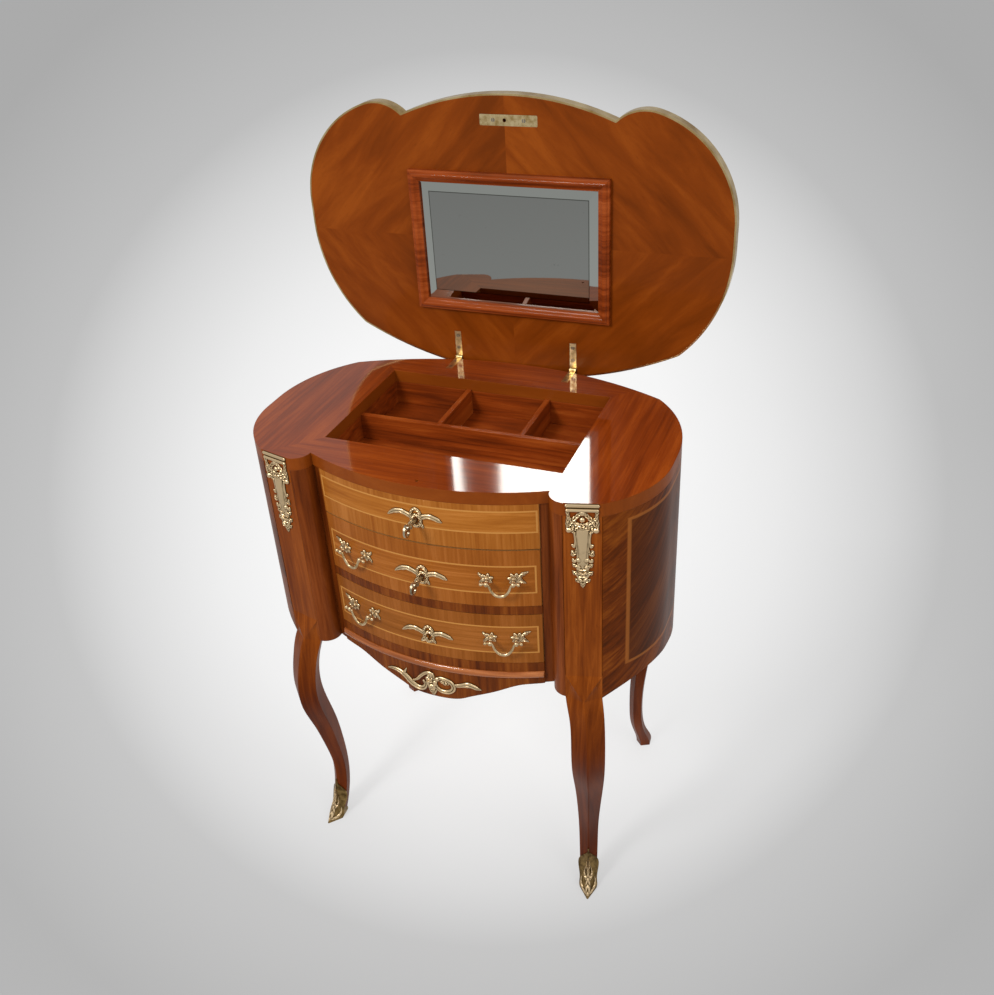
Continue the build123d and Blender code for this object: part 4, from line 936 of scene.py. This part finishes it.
# half of a bail from its ball to the belly: along, down and radius
BAIL_HALF = (
    (-26.5, 0, 1.7), (-20, 0, 1.7), (-16.6, -1.4, 1.8), (-14.6, -6, 2.0), (-12.4, -11.5, 2.2),
    (-8.6, -17, 2.4), (-3.6, -20.4, 2.5),
)
BAIL_LINE = flow(BAIL_HALF + tuple((-along, up, radius) for along, up, radius in reversed(BAIL_HALF)), 5)
BALL_PROFILE = [
    (-BALL_RADIUS * math.cos(turn), BALL_RADIUS * math.sin(turn))
    for turn in np.linspace(0.1, math.pi - 0.1, 10)
]
bail_ahead = np.gradient(BAIL_LINE[:, :2], axis=0)
bail_ahead /= np.linalg.norm(bail_ahead, axis=1)[:, None]
# the rings of a bail turn the other way round
bail_faces = [(a, d, c, b) for a, b, c, d in tube_faces(len(BAIL_LINE), BAIL_SIDES)]
for drawer, handle_up in HANDLE_UP.items():
    for side, hand in (("left", -1), ("right", 1)):
        swing, along, out = handle_frame(hand, handle_up)
        rings = [
            swing + along * (a - toward[1] * math.cos(turn) * radius)
            + Vector((0, 0, u + toward[0] * math.cos(turn) * radius)) + out * math.sin(turn) * radius
            for (a, u, radius), toward in zip(BAIL_LINE, bail_ahead)
            for turn in np.linspace(0, 2 * math.pi, BAIL_SIDES, endpoint=False)
        ]
        chunks = [(np.array(rings) / 1000, bail_faces, np.full(len(rings), BAIL_WEAR))]
        for ball in (-BALL_ALONG, BALL_ALONG):
            chunks.append(turned(BALL_PROFILE, swing + along * ball, along, wear=BAIL_WEAR))
        name = drawer + "_bail_" + side
        build("cast_" + name, name, chunks, cast_bails, "gilt_brass", name)

# ---------------------------------------------------------------------------------------
# Sabots: cast shoes on the front feet, with a ribbed leaf up the arris and two curled
# leaves that meet it over the toe.

# brass that no duster reaches: brown gold with a dull shine
dress(worn_metal("filed_brass_shoes", "#9A7E4E", "#564224", 0.38, 0.001), "sabots")

# the toe is this far outward of the middle of the post, and the foot is about this thick, in mm
FOOT_ACROSS = 5
FOOT_RADIUS = 22
SHOE_SHEET = (-26, 26, 3, 80)
shoe_points = []
shoe_faces = []
for name in ("sabots", "front_leg_left", "front_leg_right"):
    begun = len(shoe_points)
    shoe_points += [corner.co.copy() for corner in nodes[name].data.vertices]
    shoe_faces += [[begun + corner for corner in face.vertices] for face in nodes[name].data.polygons]
shoe = BVHTree.FromPolygons(shoe_points, shoe_faces)


def on_shoe(side):
    """The front of a foot, from millimetres round it and up it."""
    def wrap(across, up, out):
        placed = []
        for round_foot, height, proud in zip(across, up, out):
            turn = side * (POST_TURN + round_foot / FOOT_RADIUS)
            toward = Vector((math.sin(turn), -math.cos(turn), 0))
            foot = Vector((
                side * (POST_X + FOOT_ACROSS / 1000 * math.cos(POST_TURN)),
                POST_Y + FOOT_ACROSS / 1000 * math.sin(POST_TURN), height / 1000,
            ))
            hit = shoe.ray_cast(foot + toward * 0.2, -toward)[0]
            placed.append((hit or foot) + toward * proud / 1000)
        return np.array(placed)
    return wrap


shoe_parts = [
    band([(0, 8, 4), (0, 22, 6.5), (0, 36, 6), (0, 52, 4.5), (0, 66, 2.6), (0, 78, 0.8)],
         0.4, lobes=6, cut=0.18, veins=8, groove=0.3),
]
for hand in (-1, 1):
    for points, bulge in (
        (((4, 40, 2), (10, 46, 3), (15, 55, 2.6), (13, 62, 1.4)), 0.7),
        (((5, 24, 2), (12, 28, 3.2), (19, 36, 2.6), (21, 44, 1)), 0.7),
        (((4, 6, 2), (12, 8, 2.6), (20, 14, 2.2), (24, 22, 1)), 0.6),
    ):
        line = [(hand * across, up, half) for across, up, half in points]
        shoe_parts.append(band(line, bulge, veins=4))
build(
    "chased_sabot_leaves", "carcass",
    [relief(shoe_parts, on_shoe(side), SHOE_SHEET, step=0.8, flip=side < 0) for side in (1, -1)],
    cast_brass, "gilt_brass",
)

# ---------------------------------------------------------------------------------------
# Edge strip, hinges, locks and strike plate: drawn and rolled brass, filed to fit. The strip is
# pinned round the lid, and the leaves and plates are let into the wood and screwed.

# lacquer gone in long stretches, so the strip runs from gold to brown
dress(
    worn_metal("drawn_brass_edge", "#F2D8A0", "#B08C50", 0.2, 0.002, stains_per_metre=25.0),
    "lid_edge_band",
)
# handled plates: pale and finely scratched, with duller stains
rolled_brass = worn_metal("rolled_brass_strip", "#F0DAA8", "#A88E5C", 0.28, 0.0012)
dress(rolled_brass, "strike_plate", "hinge_lower_leaves", "hinge_upper_leaves", "hinge_pins")
for lock in ("lid", "middle_drawer", "lower_drawer"):
    dress(rolled_brass, lock + "_lock_case", lock + "_lock_bolt")

# ---------------------------------------------------------------------------------------
# Screws of the hinges and the strike plate: turned from steel, slotted, and driven flush with
# the leaves.

# steel gone brown with age, with a grey shine left
dress(worn_metal("turned_steel_screws", "#A39A8A", "#6B6255", 0.35, 0.0008), "hinge_screws", "lid_screws")

# ---------------------------------------------------------------------------------------
# Keys: a bit, a stem, a collar and a pierced bow, filed from one piece of steel. They stand in
# the locks of the lid and of the middle drawer.

# the bows are polished by fingers: pale, nearly silver
dress(worn_metal("filed_steel_keys", "#D2C4A8", "#8C7E66", 0.3, 0.0009), "lid_key", "middle_drawer_key")

# ---------------------------------------------------------------------------------------
# Room: a pale floor with a painted pool of light round the view, a tall softbox in front on the
# left with a narrow one beside it, a wide dim one on the right, and an even pale sky.


def seen_as_background(tree):
    """1 for what the eye sees, also in metal and glass, and 0 for what only lights."""
    ray = add_node(tree, "LightPath")
    share = ray.outputs["Is Camera Ray"]
    for other in ("Is Glossy Ray", "Is Transmission Ray"):
        share = add_node(tree, "Math", {0: share, 1: ray.outputs[other]}, operation="MAXIMUM").outputs[0]
    return share


FAR_TONE = "#B2B2B2"
FLOOR_REACH = 30.0
# painted pool of light: the floor's colour is palest along the eye's line of sight and greyer round it, with
# no lamp there
PAINTED_POOL_CENTRE = (0.573, -1.249, 1.492)
PAINTED_POOL_AXIS = (-0.3307, 0.7776, -0.5348)
floor_mesh = bpy.data.meshes.new("floor")
floor_mesh.from_pydata(
    [(-FLOOR_REACH, -FLOOR_REACH, 0), (FLOOR_REACH, -FLOOR_REACH, 0),
     (FLOOR_REACH, FLOOR_REACH, 0), (-FLOOR_REACH, FLOOR_REACH, 0)],
    [], [(0, 1, 2, 3)],
)
floor = bpy.data.objects.new("floor", floor_mesh)
bpy.context.collection.objects.link(floor)
# matt paint: no sheen, its colour a painted pool of light, pale in the middle and grey round it
painted, tree, surface, place = new_finish("pale_painted_floor")
from_pool_centre = add_node(tree, "VectorMath", {0: place, 1: PAINTED_POOL_CENTRE}, operation="SUBTRACT")
ray = add_node(tree, "VectorMath", {0: from_pool_centre.outputs[0]}, operation="NORMALIZE")
along = add_node(tree, "VectorMath", {0: ray.outputs[0], 1: PAINTED_POOL_AXIS}, operation="DOT_PRODUCT")
share = add_node(tree, "MapRange", {"Value": along.outputs["Value"], "From Min": 0.855, "From Max": 1.0})
# the painted pool of light: pale in the middle, grey at its rim
painted_pool = add_node(tree, "ValToRGB", {"Fac": share.outputs[0]})
painted_pool.color_ramp.elements[0].position = 0.02
painted_pool.color_ramp.elements[0].color = linear(FAR_TONE)
painted_pool.color_ramp.elements[1].position = 0.88
painted_pool.color_ramp.elements[1].color = linear("#FDFDFD")
for position, tone in ((0.43, "#C5C5C5"), (0.56, "#DBDBDB"), (0.76, "#F3F3F3")):
    painted_pool.color_ramp.elements.new(position).color = linear(tone)
tree.links.new(painted_pool.outputs["Color"], surface.inputs["Base Color"])
surface.inputs["Roughness"].default_value = 0.9
# the eye sees the paint glowing evenly in its painted tones for this share, so its tone stays plain round
# the shadow
EVEN_SHARE = 0.72
lit = add_node(tree, "Emission", {"Color": painted_pool.outputs["Color"], "Strength": 1.0})
evenly = add_node(tree, "Math", {0: seen_as_background(tree), 1: EVEN_SHARE}, operation="MULTIPLY")
mixed = add_node(
    tree, "MixShader", {"Fac": evenly.outputs[0], 1: surface.outputs["BSDF"], 2: lit.outputs["Emission"]}
)
tree.links.new(mixed.outputs[0], tree.nodes["Material Output"].inputs["Surface"])
floor_mesh.materials.append(painted)


def softbox(name, place, target, size, power):
    """A rectangular lamp that faces a target."""
    lamp = bpy.data.lights.new(name, "AREA")
    lamp.shape = "RECTANGLE"
    lamp.size, lamp.size_y = size
    lamp.energy = power
    stand = bpy.data.objects.new(name, lamp)
    stand.location = place
    stand.rotation_euler = (Vector(target) - Vector(place)).to_track_quat("-Z", "Y").to_euler()
    bpy.context.collection.objects.link(stand)


MIRROR_PLACE = (0, 0.2, 0.96)
CASE_PLACE = (0, 0, 0.6)
softbox("key_softbox", (-0.757, -2.1, 2.45), MIRROR_PLACE, size=(0.46, 0.8), power=40)
softbox("slot_softbox", (-1.245, -2.1, 2.45), MIRROR_PLACE, size=(0.085, 0.8), power=7)
softbox("fill_softbox", (2.4, -1.4, 2.2), CASE_PLACE, size=(1.6, 1.6), power=22)

sky = bpy.data.worlds.new("pale_sky")
bpy.context.scene.world = sky
sky.use_nodes = True
background = sky.node_tree.nodes["Background"]
background.inputs["Color"].default_value = linear("#F2F2F2")
background.inputs["Strength"].default_value = 0.75
# the eye sees the sky in the tone of the far floor, so hardly a horizon shows
backdrop = add_node(sky.node_tree, "Background", {"Color": linear(FAR_TONE), "Strength": 1.0})
mixed = add_node(
    sky.node_tree, "MixShader",
    {"Fac": seen_as_background(sky.node_tree), 1: background.outputs[0], 2: backdrop.outputs[0]},
)
sky.node_tree.links.new(mixed.outputs[0], sky.node_tree.nodes["World Output"].inputs["Surface"])

# ---------------------------------------------------------------------------------------
# Eye: a camera in front of the table on its right, above the lid, that looks down on the
# open well. The lens is in millimetres on a 36 mm frame, and the turns are in degrees.

EYE_PLACE = (0.573355, -1.249416, 1.491941)
EYE_TURNS = (57.623005, 2.934892, 21.183680)
eye = bpy.data.cameras.new("eye")
eye.lens = 37.56
eye.sensor_width = 36
eye_stand = bpy.data.objects.new("eye", eye)
eye_turn = Euler([math.radians(turn) for turn in EYE_TURNS])
eye_stand.matrix_world = Matrix.LocRotScale(Vector(EYE_PLACE), eye_turn, None)
bpy.context.collection.objects.link(eye_stand)
bpy.context.scene.camera = eye_stand
bpy.context.scene.view_settings.view_transform = "Standard"
